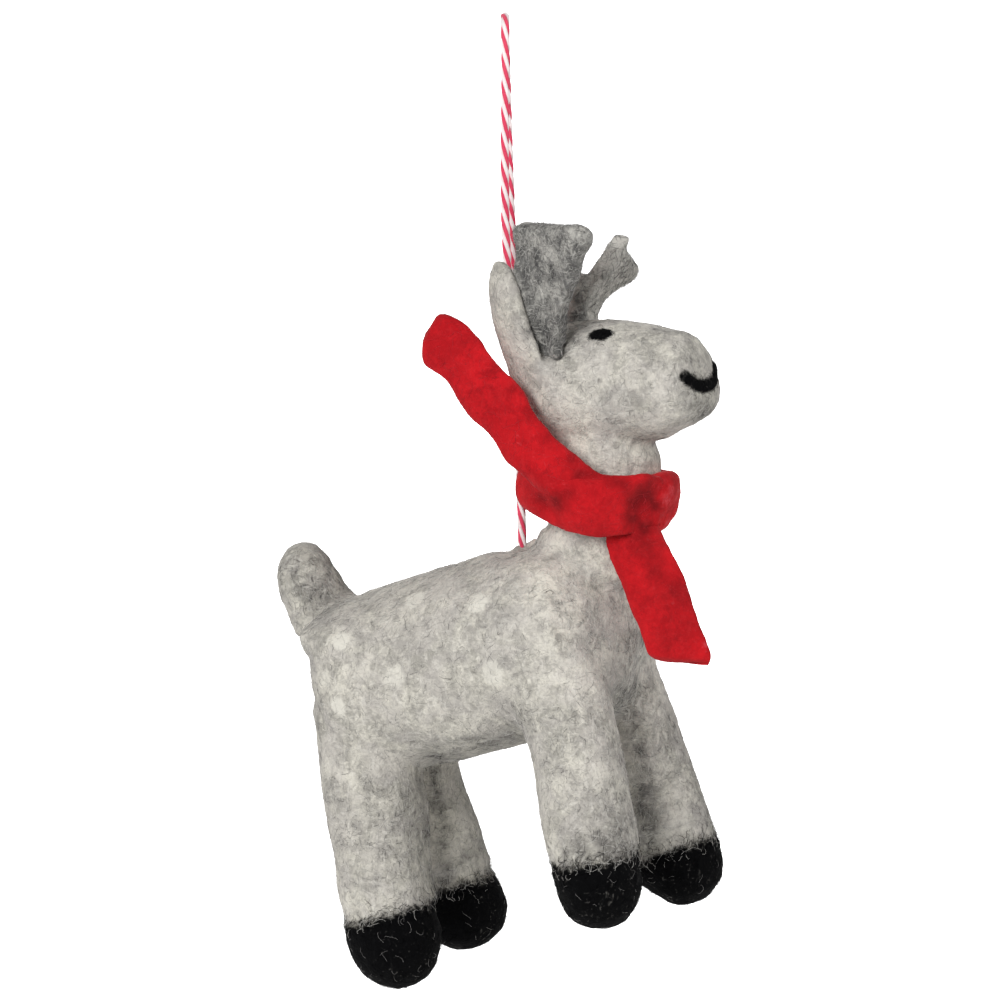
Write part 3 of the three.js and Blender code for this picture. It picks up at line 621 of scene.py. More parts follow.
shadeAndDarkWool = [  # painted shade between the legs, under the belly, down the legs' shaded sides, as the near legs' shadow on the far legs, at the tail, jaw and antler roots, partly darker wool; each: picture place, radius in mm, strength
    (290, 560, 2.6, 0.35), (296, 592, 2.6, 0.35), (312, 572, 3.2, 0.5), (322, 605, 3.4, 0.85), (330, 622, 2.6, 0.5), (306, 628, 2, 0.5),
    (395, 590, 3.2, 0.4), (430, 576, 3.2, 0.45), (466, 566, 3, 0.4), (500, 560, 3, 0.35), (409, 628, 2.2, 0.45),
    (381, 616, 2.2, 0.35), (522, 712, 3, 0.7), (512, 735, 3, 0.8), (478, 744, 3.4, 0.9), (444, 756, 4, 0.95),
    (384, 730, 2.4, 0.4), (350, 740, 2, 0.35), (617, 590, 3, 0.5), (630, 640, 4, 0.7), (634, 690, 4, 0.7),
    (660, 330, 1.8, 0.6), (676, 342, 1.4, 0.4), (700, 404, 3, 0.55), (708, 414, 2, 0.6), (500, 275, 1.8, 0.5),
    (496, 300, 1.5, 0.4), (640, 408, 2.4, 0.35), (556, 605, 3, 0.25), (590, 640, 4, 0.3), (422, 785, 2.8, 0.75),
    (428, 830, 2.8, 0.9), (432, 875, 2.8, 0.9), (434, 905, 2.4, 0.8), (405, 885, 2.4, 0.35), (400, 800, 3, 0.3), (372, 780, 3, 0.35), (345, 850, 2.2, 0.25),
    (330, 790, 2, 0.3), (392, 860, 3, 0.25), (434, 772, 1.8, 1.1), (436, 790, 1.6, 1.2), (438, 808, 1.6, 1.2), (440, 826, 1.6, 1.2), (442, 844, 1.6, 1.2), (444, 862, 1.6, 1.2),
    (446, 880, 1.6, 1.1), (632, 690, 1.6, 1.1), (635, 710, 1.6, 1.1), (638, 730, 1.5, 1.1), (641, 750, 1.5, 1.1), (643, 770, 1.5, 1.1),
    (645, 790, 1.5, 1.1), (647, 810, 1.5, 1.1), (649, 830, 1.5, 1.1), (626, 835, 4, 0.45), (622, 800, 4, 0.4), (612, 852, 2.6, 0.5),
    (548, 835, 2.4, 0.35), (620, 755, 3.4, 0.5),
    (636, 800, 3.6, 0.65), (642, 842, 3, 0.7), (604, 852, 3.2, 0.7), (573, 854, 3, 0.65), (632, 846, 2.6, 0.4), (588, 838, 3, 0.35), (620, 700, 4, 0.4),
    (548, 760, 2.6, 0.5), (552, 820, 2.2, 0.35), (666, 740, 2.6, 0.3), (684, 800, 2.6, 0.3), (655, 830, 3, 0.4),
    (560, 640, 2, 0.25), (556, 352, 2.2, 0.7), (572, 340, 2.2, 0.6), (590, 326, 2, 0.5), (545, 340, 2, 0.6),
    (528, 330, 1.6, 0.4), (560, 370, 2, 0.3), (668, 434, 2.2, 0.5), (645, 440, 2.4, 0.5), (540, 400, 2.4, 0.3),
    (372, 820, 8, 0.38), (385, 880, 7, 0.38), (412, 830, 5, 0.4), (580, 800, 8, 0.2), (620, 820, 5, 0.25), (560, 720, 6, 0.12),
    (290, 575, 7, 0.3), (305, 600, 6, 0.3), (498, 268, 2, 0.45), (490, 290, 2.4, 0.35), (494, 320, 2.6, 0.35), (500, 345, 2.6, 0.4),
    (512, 365, 3, 0.3), (522, 330, 2.2, 0.4), (578, 326, 2.4, 0.6), (568, 345, 2.0, 0.5), (650, 355, 2.0, 0.25), (625, 385, 2.6, 0.2),
    (628, 325, 1.4, 0.3), (612, 420, 2.4, 0.25), (560, 430, 2.6, 0.3), (481, 845, 1.6, 0.25),
]


def marksOn(obj, marks):  # soft round marks where the picture places meet a piece
    coords = coordsOf(obj.data)
    tree = treeOf(obj)
    total = np.zeros(len(coords))
    for px, py, radius, strength in marks:
        place = tree.ray_cast(*sightLine(px, py))[0]
        if place is not None:
            total += strength * np.exp(-((np.linalg.norm(coords - np.array(place), axis=1) / (radius * mm)) ** 2))
    return total


# each painted shade mark goes on both flanks, mirrored
shadeAndDarkWoolPlaces = []
for px, py, radius, strength in shadeAndDarkWool:
    hit = seenAt(px, py)
    if hit is not None:
        shadeAndDarkWoolPlaces += [((hit.x, hit.y * side, hit.z), radius * mm, strength) for side in (1, -1)]


spots = spotPlaces()


paintedLightOnFarLegs = [  # painted light on the far legs' inner faces, which lie in the near legs' shadow; each: picture place, radius in mm, strength
    (456, 856, 3, 0.6), (466, 822, 3, 0.5), (478, 868, 2.6, 0.5), (684, 822, 3.6, 0.5), (668, 848, 3, 0.5), (694, 850, 3, 0.5), (676, 780, 3, 0.35),
]
paintedLightPlaces = [(np.array(seenAt(px, py)), radius * mm, strength) for px, py, radius, strength in paintedLightOnFarLegs]


# cream spots, and painted light from the marks above, in one mask
def creamAt(coords):
    cream = np.zeros(len(coords))
    for place, radius, strength in paintedLightPlaces:
        cream += strength * np.exp(-((np.linalg.norm(coords - place, axis=1) / radius) ** 2))
    cream *= 0.7 + 0.6 * lumps(coords, 1.2 * mm, 17)
    jitter = lumps(coords, 1.4 * mm, 11) * 0.25 * mm
    for k, place in enumerate(spots):
        away = np.linalg.norm(coords - place, axis=1) + jitter
        strength, size = nearSpots[k // 2][2:]
        cream = np.maximum(cream, strength * (1 - ease(1.1 * mm * size, 2.6 * mm * size, away)))
    return cream


def shadeAt(coords):
    shade = np.zeros(len(coords))
    for middle, radius, strength in shadeAndDarkWoolPlaces:
        shade += strength * np.exp(-((np.linalg.norm(coords - middle, axis=1) / radius) ** 2))
    return shade * (0.75 + 0.6 * lumps(coords, 2.2 * mm, 15) + 0.35 * lumps(coords, 0.8 * mm, 16))


def patchOf(name, outside, rise, sink, edge, fray, cuts, seed, depth=0.7):
    # a thin closed pad cut from the skin where outside() is small; its frayed rim dips under the skin
    coords = coordsOf(skin.data)
    far = outside(coords) > (edge + fray + 0.5) * mm
    bm = bmesh.new()
    bm.from_mesh(skin.data)
    bm.verts.ensure_lookup_table()
    bmesh.ops.delete(bm, geom=[bm.verts[k] for k in np.flatnonzero(far)], context="VERTS")
    bmesh.ops.delete(bm, geom=[v for v in bm.verts if not v.link_faces], context="VERTS")
    if cuts:
        bmesh.ops.subdivide_edges(bm, edges=bm.edges[:], cuts=cuts, use_grid_fill=True, smooth=0)
    for _ in range(3 if cuts else 0):
        bmesh.ops.smooth_vert(bm, verts=[v for v in bm.verts if not v.is_boundary], factor=0.5)
    bm.normal_update()
    places = np.array([v.co for v in bm.verts])
    gap = outside(places) + (0.6 * lumps(places, 0.9 * mm, seed) + 0.4 * lumps(places, 0.35 * mm, seed + 1)) * fray * mm
    level = rise * mm - (rise + sink) * mm * ease(-edge * mm, edge * mm, gap)
    for vert, lift in zip(bm.verts, level):
        vert.co += vert.normal * lift
    obj = fromBmesh(name, bm)
    wall = obj.modifiers.new("wall", "SOLIDIFY")
    wall.thickness = depth * mm
    wall.offset = -1
    return settle(obj)


spotPads = patchOf("creamSpots", lambda c: awayFrom(spots)(c) - 2 * mm, 0.03, 0.2, 0.7, 0.3, 2, 21, depth=0.4)

eyeSpec = {"length": 4.9, "height": 3.2, "rise": 0.3}


eyeMiddles = [np.array((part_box(f"{flank}_eye")[0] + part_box(f"{flank}_eye")[1]) / 2) for flank in flanks]


def outsideEyes(coords):
    best = np.full(len(coords), 1.0)
    for middle in eyeMiddles:
        along = (coords - middle) @ np.array(ahead)
        over = np.linalg.norm(coords - middle - along[:, None] * np.array(ahead), axis=1)
        reach = np.sqrt((along / (eyeSpec["length"] / eyeSpec["height"])) ** 2 + over**2)
        best = np.minimum(best, reach - eyeSpec["height"] / 2 * mm)
    return best


mouthSpec = {"width": 10.8, "aside": -0.9, "rise": 19.0, "sag": 2.6, "stroke": 2.3, "relief": 0.3}


def mouthLine():
    places = []
    for share in np.linspace(-1, 1, 25):
        start = onDeer(80, mouthSpec["aside"] + share * mouthSpec["width"] / 2, mouthSpec["rise"] + mouthSpec["sag"] * abs(share) ** 2.6)
        hit = skinTree.ray_cast(start, -ahead)[0]
        if hit is not None:
            places.append(hit)
    return np.array(places)


eyes = patchOf("eyes", outsideEyes, eyeSpec["rise"], 0.3, 0.5, 0.3, 3, 25)
smile = mouthLine()
mouth = patchOf("mouth", lambda c: awayFrom(smile)(c) - mouthSpec["stroke"] / 2 * mm, mouthSpec["relief"], 0.3, 0.5, 0.3, 3, 27)
print("spots, eyes and mouth made")

hoofSpec = {"proud": 0.12, "fray": 0.8, "edge": 0.8}
rimLift = {"right_hind": 0.4, "left_hind": -3.2, "right_fore": 0.0, "left_fore": -4.8}  # mm over the CAD hoof's top
rimSlope = {"right_hind": 0, "left_hind": 0, "right_fore": -0.13, "left_fore": 0.08}  # rise of the rim towards the nose


def rimOf(limb):
    hoof = coordsOf(nodes[f"{limb}_hoof"].data)
    middle = hoof.mean(axis=0)
    return middle, lambda coords: heights(coords) - heights(hoof).max() - rimLift[limb] * mm - (coords - middle) @ np.array(ahead) * rimSlope[limb]


def aboveRims(coords):  # height over the rim of the nearest hoof; places far from all hooves count as high
    best = np.full(len(coords), 0.05)
    nearest = np.full(len(coords), 18 * mm)
    for limb in limbs:
        middle, above = rimOf(limb)
        away = np.linalg.norm(coords - middle, axis=1)
        best = np.where(away < nearest, above(coords), best)
        nearest = np.minimum(nearest, away)
    return best


def sootAt(coords):
    jitter = lumps(coords, 1.6 * mm, 40) + 0.6 * lumps(coords, 0.6 * mm, 41)
    hoof = 1 - ease(-1.4 * mm, 2.4 * mm, aboveRims(coords) + jitter * 0.9 * mm)
    line = 1 - ease(-0.5 * mm, 0.7 * mm, awayFrom(smile)(coords) - mouthSpec["stroke"] / 2 * mm + jitter * 0.15 * mm)
    eye = 1 - ease(-0.4 * mm, 0.7 * mm, outsideEyes(coords) + jitter * 0.15 * mm)
    return np.maximum(np.maximum(hoof, line), eye)


def paintFleece(obj):
    coords = coordsOf(obj.data)
    # painted shade, partly darker wool; cream spots with painted light on the far legs; black hooves, eyes and mouth
    paint(obj, "shade", shadeAt(coords))
    paint(obj, "cream", creamAt(coords))
    paint(obj, "soot", sootAt(coords))


def buildHoof(limb, seed):
    middle, above = rimOf(limb)
    others = [rimOf(other)[0] for other in limbs if other != limb]

    def outside(coords):
        own = np.linalg.norm(coords - middle, axis=1)
        mine = (own < 17 * mm) & (own < awayFrom(others)(coords))
        return np.where(mine, above(coords), 1.0)
    bm = bmesh.new()
    bm.from_mesh(skin.data)
    bm.verts.ensure_lookup_table()
    far = outside(coordsOf(skin.data)) > 3.4 * mm
    bmesh.ops.delete(bm, geom=[bm.verts[k] for k in np.flatnonzero(far)], context="VERTS")
    bm.normal_update()
    places = np.array([v.co for v in bm.verts])
    gap = outside(places) - 0.8 * mm + lumps(places, 2 * mm, seed) * hoofSpec["fray"] * mm
    level = hoofSpec["proud"] * mm - (hoofSpec["proud"] + 0.5) * mm * ease(-hoofSpec["edge"] * mm, hoofSpec["edge"] * mm, gap)
    for vert, lift in zip(bm.verts, level):
        vert.co += vert.normal * lift
    bmesh.ops.holes_fill(bm, edges=[e for e in bm.edges if e.is_boundary], sides=0)
    bmesh.ops.triangulate(bm, faces=[f for f in bm.faces if len(f.verts) > 4])
    obj = fromBmesh(limb.title().replace("_", "") + "Hoof", bm)
    obj.data.shade_smooth()
    return obj


hooves = {limb: buildHoof(limb, 30 + k * 3) for k, limb in enumerate(limbs)}


def tuckSkin():  # the legs' ends draw in under the hooves
    coords, normals = coordsOf(skin.data), normalsOf(skin.data)
    under = 1 - ease(-2.5 * mm, -1.5 * mm, aboveRims(coords))
    skin.data.vertices.foreach_set("co", (coords - normals * (under * 0.3 * mm)[:, None]).ravel())
    skin.data.update()


for piece in (skin, spotPads, eyes, mouth, *hooves.values()):
    paintFleece(piece)
tuckSkin()
dress(skin, greyFelt)
dress(spotPads, creamFelt)
for piece in (eyes, mouth, *hooves.values()):
    dress(piece, blackFelt)
print("hooves made")

# painted shade where the near antler shades the far one, along the ear and at the roots, with some dark patches of
# wool; each: picture place, radius in mm, strength
antlerShadeAndDarkPatches = [
    (540, 300, 2.4, 0.25), (562, 318, 2.4, 0.8), (528, 250, 1.8, 0.5), (556, 345, 2.4, 0.9), (548, 275, 2.2, 0.5), (575, 262, 1.6, 0.4),
    (581, 283, 1.6, 0.55), (581, 296, 1.9, 0.6), (580, 309, 2.1, 0.6), (578, 321, 2.1, 0.6), (537, 325, 2.2, 0.8), (574, 335, 2.2, 0.8), (516, 240, 1.6, 0.5), (585, 240, 1.2, 0.3), (600, 280, 1.6, 0.4),
    (521, 272, 1.1, 0.6), (525, 286, 1.2, 0.8), (530, 300, 1.2, 0.8), (534, 315, 1.3, 0.8), (538, 330, 1.3, 0.8), (543, 345, 1.4, 0.8),
]
notchPulls = {"right": [], "left": [(582, 280, -2, -6), (588, 272, 0, 2), (577, 290, -3, -2), (596, 262, 0, 0), (594, 286, 0, 0)]}
antlerPulls = {
    "right": [
        (588, 228, 5.5, 0), (590, 236, 6, 0), (587, 248, 3, 0), (583, 262, -3, 0), (582, 273, -2, 0), (580, 286, -5, 0), (578, 300, -8, 0), (575, 315, -10, 0),
        (523, 262, -3, 0), (527, 278, -8, 0), (530, 292, -8, 0), (533, 305, -10, 0), (536, 325, -11, 2), (542, 345, -3, 6),
        (560, 350, -4, 3), (572, 330, -12, 0), (573, 345, -15, 2), (520, 224, -3, 1), (579, 224, 2, 1), (550, 226, 0, -2), (545, 260, 0, 0), (560, 290, 0, 0),
    ],
    "left": [
        (605, 240, 7, 0), (614, 235, 7, 0), (622, 238, 8, -1), (624, 261, 5, -7), (629, 250, -2, 0), (636, 272, 3, -1), (630, 283, -3, -2),
        (620, 296, -10, -4), (612, 307, -15, -1), (607, 317, -14, 0), (600, 258, 1, 0), (597, 267, -5, 0), (595, 278, -10, 0),
        (590, 290, -13, 0), (585, 303, -12, 0), (582, 318, -12, 0),
    ],
}


def flareRoot(antler):  # felted on: the foot spreads out over the skin
    coords, normals = coordsOf(antler.data), normalsOf(antler.data)
    away = np.array([skinTree.find_nearest(Vector(c))[3] for c in coords])
    coords += normals * (0.9 * mm * np.exp(-((away / (2.4 * mm)) ** 2)))[:, None]
    antler.data.vertices.foreach_set("co", coords.ravel())
    antler.data.update()


antlers = {}
for flank in flanks:
    antler = united(f"{flank}Antler", [f"{flank}_antler"], 0.0, 0.3)
    evened(antler, 8, 0)
    coax(antler, antlerPulls[flank], reach=16)
    if notchPulls[flank]:
        coax(antler, notchPulls[flank], reach=8)
    flareRoot(antler)
    roughen(antler, [(4, 0.14), (1.4, 0.07), (0.6, 0.04)], 50)
    coords = coordsOf(antler.data)
    near = flank == "right"
    # painted shade: the near antler is painted darker all over and the far one lighter, as the key light falls; lumps
    # give mottling
    antlerShadeAndMottle = (0.38 if near else -0.2) + (1.15 if near else 0.8) * lumps(coords, 2.5 * mm, 55) + marksOn(antler, antlerShadeAndDarkPatches)
    paint(antler, "shade", antlerShadeAndMottle * (0.8 + 0.5 * lumps(coords, 1.2 * mm, 56)))
    # painted light: the far antler gets much more cream than the near one, which gets only faint pale patches; the
    # shade marks take cream away
    paint(antler, "cream", (0.12 if near else 0.95) + 0.45 * lumps(coords, 2.2 * mm, 58) - 0.8 * marksOn(antler, antlerShadeAndDarkPatches))
    antlers[flank] = dress(antler, antlerFelt)
print("antlers made")

scarf = {
    "thick": 3.4, "sides": 28, "fullness": 2.4, "grow": 0.35,
    "loop": {"length": 23.8, "width": 26.8, "ahead": 19.3, "rise": 5.0, "tilt": 19, "height": 10.4},
    "rear": {  # both edges as the picture shows them, and the depth of each pair in mm
        "over": [
            (440, 314), (458, 321), (475, 336), (487, 354), (501, 371), (516, 388), (531, 409), (546, 430),
            (561, 447), (580, 463), (602, 474), (626, 478), (648, 476), (662, 478),
        ],
        "under": [
            (424, 338), (426, 362), (444, 376), (460, 398), (474, 416), (488, 428), (497, 442), (506, 460),
            (520, 470), (543, 487), (569, 505), (600, 522), (634, 532), (655, 531),
        ],
        "depth": [-12.9, -13.0, -13.2, -13.6, -14.0, -14.4, -14.8, -14.9, -14.3, -13.2, -12.0, -10.5, -7.5, -3],
    },
    "front": {
        "over": [(652, 516), (658, 533), (671, 552), (682, 580), (692, 608), (701, 634), (709, 656), (711, 664)],
        "under": [(606, 524), (608, 545), (617, 567), (627, 592), (637, 618), (645, 638), (650, 652), (654, 659)],
        "depth": [1.5, -4.6, -8.4, -9.8, -10.3, -10.3, -10.3, -10.3],
    },
    # painted shade in the fold where the tail comes out under the loop, in the loop's creases, along the strip's edge
    # by the cheek and down the tail's right edge
    "dark": [
        (638, 497, 2.2, 1.1), (633, 516, 2.0, 1.1), (644, 528, 1.8, 1.1), (648, 484, 1.7, 0.8), (655, 508, 1.5, 0.8), (651, 497, 1.4, 0.7),
        (556, 500, 1.7, 0.9), (541, 500, 1.8, 0.8), (570, 493, 1.3, 0.6), (522, 518, 1.8, 0.5), (594, 474, 1.9, 0.8), (578, 475, 1.4, 0.7),
        (612, 480, 1.6, 0.7),
        (470, 340, 1.4, 0.35), (492, 366, 1.6, 0.5), (512, 388, 1.4, 0.5), (530, 412, 1.4, 0.55), (550, 438, 1.4, 0.55),
        (572, 460, 1.4, 0.6), (625, 486, 1.5, 0.7), (615, 545, 1.8, 0.5), (635, 541, 2.0, 0.6), (650, 548, 2.4, 0.7),
        (676, 592, 2.8, 0.6), (655, 568, 2.0, 0.4), (690, 628, 2.4, 0.45), (664, 644, 2.0, 0.35), (645, 600, 1.6, 0.3), (600, 532, 2.2, 0.4), (660, 580, 3.0, 0.25), (685, 605, 3.0, 0.25), (675, 640, 3.0, 0.25), (560, 505, 3.0, 0.2), (480, 400, 2.0, 0.2), (445, 360, 1.6, 0.2),
    ],
    # painted sheen: pale pink highlight on the loop's right bulge, the bright ridge and the tail's right edge, partly
    # pale fuzz
    "paintedSheenAndFuzz": [
        (668, 500, 1.7, 0.35), (673, 490, 1.3, 0.35), (664, 480, 1.2, 0.35), (658, 488, 0.9, 0.35), (676, 500, 1.2, 0.35), (668, 522, 1.2, 0.35), (688, 590, 0.9, 0.35),
        (698, 615, 0.9, 0.35), (706, 645, 0.9, 0.35), (548, 481, 1.6, 0.3), (566, 484, 1.4, 0.25), (521, 440, 1.2, 0.2),
    ],
    "relief": [  # picture place, radius in mm, rise in mm
        (552, 482, 4.0, 1.3), (545, 502, 2.8, -1.1), (585, 515, 4.0, 0.9), (642, 506, 3.2, -1.5), (638, 528, 2.6, -1.0), (594, 476, 2.6, -0.6),
        (668, 495, 3.0, 0.5), (528, 520, 3.0, 0.4),
        (640, 575, 3.0, 0.5), (672, 596, 2.6, -0.5), (668, 626, 2.8, 0.5), (505, 400, 3.0, 0.4), (470, 360, 3.0, 0.35),
    ],
    "loopPulls": [
        (530, 515, 2, -4), (546, 526, 1, -4), (668, 470, 2, -3), (680, 478, 2, -3), (683, 500, -3, 0), (682, 520, -7, -3), (674, 534, -8, -6), (660, 538, -3, -4), (600, 510, 0, 0),
    ],
}


def pullSkin(name, rings, closed, levels=1):  # each ring of points is pulled out of the one before
    sides = len(rings[0])
    bm = bmesh.new()
    number = bm.verts.layers.int.new("number")
    ring = bmesh.ops.create_circle(bm, cap_ends=not closed, segments=sides, radius=1 * mm)["verts"]
    for k, vert in enumerate(sorted(ring, key=lambda v: math.atan2(v.co.y, v.co.x))):
        vert[number] = k
        vert.co = rings[0][k]
    first = edges = [e for e in bm.edges if e.verts[0] in ring and e.verts[1] in ring and (e.is_boundary or closed)]
    for places in rings[1:]:
        pulled = bmesh.ops.extrude_edge_only(bm, edges=edges)["geom"]
        for vert in (g for g in pulled if isinstance(g, bmesh.types.BMVert)):
            vert.co = places[vert[number]]
        edges = [g for g in pulled if isinstance(g, bmesh.types.BMEdge) and g.is_boundary]
    if closed:
        bmesh.ops.bridge_loops(bm, edges=[*first, *edges])
    else:
        bmesh.ops.holes_fill(bm, edges=edges, sides=0)
        caps = [f for f in bm.faces if len(f.verts) > 4]
        for cap in caps:
            bmesh.ops.inset_region(bm, faces=[cap], thickness=0.6 * mm, depth=0.25 * mm)
    bmesh.ops.recalc_face_normals(bm, faces=bm.faces[:])
    obj = fromBmesh(name, bm)
    rounded = obj.modifiers.new("rounded", "SUBSURF")
    rounded.levels = rounded.render_levels = levels
    return settle(obj)


def sectionRing(middle, outward, over, halfThick, halfHigh, fullness):
    points = []
    for k in range(scarf["sides"]):
        angle = 2 * math.pi * k / scarf["sides"]
        c, s = math.cos(angle), math.sin(angle)
        size = (abs(c) ** fullness + abs(s) ** fullness) ** (-1 / fullness)
        points.append(middle + outward * (c * size * halfThick) + over * (s * size * halfHigh))
    return points


def loopRings(steps=72):
    spec = scarf["loop"]
    tilt = math.radians(spec["tilt"])
    fore = ahead * math.cos(tilt) - aloft * math.sin(tilt)
    over = ahead * math.sin(tilt) + aloft * math.cos(tilt)
    middle = onDeer(spec["ahead"], 0, spec["rise"])
    rings = []
    for k in range(steps):
        angle = 2 * math.pi * k / steps

        def near(degrees, spread):
            return math.exp(-(((math.degrees(angle) - degrees + 180) % 360 - 180) / spread) ** 2)
        front, back, far = near(-4, 34), near(-150, 38), near(60, 60)
        wave = 0.5 * math.cos(3 * angle + 1) + 0.3 * math.sin(5 * angle)
        out = fore * (spec["length"] / 2 * math.cos(angle)) + aside * (spec["width"] / 2 * math.sin(angle))
        outward = out.normalized()
        place = middle + out * mm + outward * ((0.35 * front + 1.3 * back - 0.8 * far) * mm)
        place += over * ((0.2 * wave + 1.5 * back - 0.2 * front - 2.2 * far) * mm)
        halfThick = (scarf["thick"] + 1.7 * front + 1.9 * back + 0.3 * wave) / 2 * mm
        halfHigh = (spec["height"] + 0.6 * front - 1.2 * back + 0.5 * wave) / 2 * mm
        rings.append(sectionRing(place, outward, over, halfThick, halfHigh, scarf["fullness"] - 0.3 * front))
    return rings


def laidEdge(spots, depths):  # picture places at their depths, kept clear of the fleece
    places = []
    for (px, py), depth in zip(spots, depths):
        hit = seenAt(px, py)
        limit = depth if hit is None else min(depth, hit.y / mm - scarf["thick"] / 2 - 0.1)
        places.append(inPlane(px, py, limit))
    return places


def stripRings(spec, steps=72):
    over = smoothLine(laidEdge(spec["over"], spec["depth"]), steps)
    under = smoothLine(laidEdge(spec["under"], spec["depth"]), steps)
    middle = (over + under) / 2
    run = np.gradient(middle, axis=0)
    gone = np.concatenate([[0], np.cumsum(np.linalg.norm(np.diff(middle, axis=0), axis=1))]) / mm
    rings = []
    for k in range(steps):
        heading = Vector(run[k]).normalized()
        high = Vector(over[k] - under[k])
        outward = heading.cross(high).normalized()
        ends = min(gone[k], gone[-1] - gone[k])
        blunt = math.sqrt(max(1 - max(1 - ends / 1.3, 0) ** 2, 0.1))
        swell = 0.25 * math.sin(gone[k] * 0.9 + 1) + 0.2 * math.sin(gone[k] * 1.7)
        halfThick = (scarf["thick"] + swell) / 2 * blunt * mm
        halfHigh = (high.length / 2 + scarf["grow"] * mm) * (0.88 + 0.12 * blunt)
        rings.append(sectionRing(Vector(middle[k]), outward, high.normalized(), halfThick, halfHigh, scarf["fullness"]))
    return rings


def buildScarf():
    loop = pullSkin("scarfLoop", loopRings(), True)
    rear = pullSkin("scarfRearStrip", stripRings(scarf["rear"]), False)
    front = pullSkin("scarfFrontTail", stripRings(scarf["front"], 56), False)
    coax(loop, scarf["loopPulls"], reach=20)
    for k, piece in enumerate((loop, rear, front)):
        coords = coordsOf(piece.data) + normalsOf(piece.data) * (marksOn(piece, scarf["relief"]) * mm)[:, None]
        piece.data.vertices.foreach_set("co", coords.ravel())
        piece.data.update()
        roughen(piece, [(6, 0.45), (2.4, 0.16), (0.9, 0.05)], 60 + k)
        coords = coordsOf(piece.data)
        # painted shade in the folds and along the edges, and a painted sheen on the lit edges, partly pale fuzz
        paint(piece, "shade", marksOn(piece, scarf["dark"]) * (0.85 + 0.4 * lumps(coords, 1.6 * mm, 64)))
        paint(piece, "paintedSheenAndFuzz", marksOn(piece, scarf["paintedSheenAndFuzz"]))
        dress(piece, redFelt)
    return loop, rear, front


scarfLoop, scarfRear, scarfFront = buildScarf()
print("scarf made", len(scarfLoop.data.polygons), len(scarfRear.data.polygons), len(scarfFront.data.polygons), "faces")

hairScale = 1


def layHairs(name, surface, material, spec, chance=None):
    mesh = surface.data
    coords, triangles = coordsOf(mesh), trianglesOf(mesh)
    tree = BVHTree.FromPolygons([Vector(c) for c in coords], triangles.tolist())
    corners = coords[triangles]
    crossed = np.cross(corners[:, 1] - corners[:, 0], corners[:, 2] - corners[:, 0])
    weights = np.linalg.norm(crossed, axis=1)
    if chance is not None:
        weights = weights * chance(corners.mean(axis=1))
    chooser = np.random.default_rng(spec["seed"])
    count = max(int(spec["count"] * hairScale), 10)
    picks = chooser.choice(len(weights), size=count, p=weights / weights.sum())
    curve = bpy.data.curves.new(name, "CURVE")
    curve.dimensions = "3D"
    curve.bevel_depth = 1 * mm
    curve.bevel_resolution = 0
    curve.use_fill_caps = True
    steps = spec.get("steps", 6)
    for pick in picks:
        a, b = sorted(chooser.random(2))
        place = Vector(corners[pick, 0] * a + corners[pick, 1] * (b - a) + corners[pick, 2] * (1 - b))
        normal = Vector(crossed[pick]).normalized()
        heading = normal.cross(Vector(chooser.normal(size=3))).normalized()
        length = chooser.uniform(*spec["length"]) * mm
        curl = chooser.normal() * spec["curl"]
        thick = chooser.uniform(*spec["radius"])
        arch = abs(chooser.normal()) * spec["arch"] * mm
        flat = []
        for k in range(steps):
            share = k / (steps - 1)
            lift = spec["lift"] * mm + arch * math.sin(math.pi * share)
            if k == 0 or k == steps - 1:
                lift = -0.1 * mm
            if k == steps - 1 and spec.get("loose", 0) > chooser.random():
                lift = arch + 0.25 * mm
            flat.extend((*(place + normal * lift), 1))
            heading.rotate(Quaternion(normal, curl + chooser.normal() * 0.35))
            found = tree.find_nearest(place + heading * (length / (steps - 1)))
            place, normal = found[0], found[1]
            heading = (heading - normal * heading.dot(normal)).normalized()
        spline = curve.splines.new("POLY")
        spline.points.add(steps - 1)
        spline.points.foreach_set("co", flat)
        spline.points.foreach_set("radius", [thick * (0.5 if k in (0, steps - 1) else 1) for k in range(steps)])
    hairs = settle(addObject(name, curve))
    return dress(hairs, material)


bodyHair = {"length": (1.2, 4.5), "radius": (0.014, 0.028), "curl": 0.4, "arch": 0.1, "lift": 0.02}
riders = [skin, spotPads, eyes, mouth, *hooves.values(), *antlers.values(), scarfLoop]


def aboveHooves(coords):
    return ease(-1.2 * mm, 1.5 * mm, aboveRims(coords))


def nearRim(coords):
    return np.exp(-((aboveRims(coords) / (1.4 * mm)) ** 2)) + 0.0005


def inShade(coords):
    shades = np.zeros(len(skin.data.vertices))
    skin.data.attributes["shade"].data.foreach_get("value", shades)
    return (0.12 + shades[trianglesOf(skin.data)].mean(axis=1)) * aboveHooves(coords)


for k in range(2):
    riders.append(layHairs(f"paleHairs{k + 1}", skin, paleHair, {**bodyHair, "count": 4200, "radius": (0.012, 0.022), "seed": 70 + k}, aboveHooves))
    riders.append(layHairs(f"greyHairs{k + 1}", skin, greyHair, {**bodyHair, "count": 2400, "radius": (0.010, 0.018), "seed": 80 + k}, aboveHooves))
# dark hairs gather where the painted shade lies
riders.append(layHairs("darkHairs", skin, darkHair, {**bodyHair, "count": 4300, "length": (0.8, 2.8), "radius": (0.013, 0.023), "seed": 90}, inShade))
print("body hairs laid")


def nearFace(coords):
    away = np.minimum(awayFrom(smile)(coords), awayFrom(eyeMiddles)(coords) - 0.8 * mm)
    return np.exp(-((away / (1.0 * mm)) ** 2))


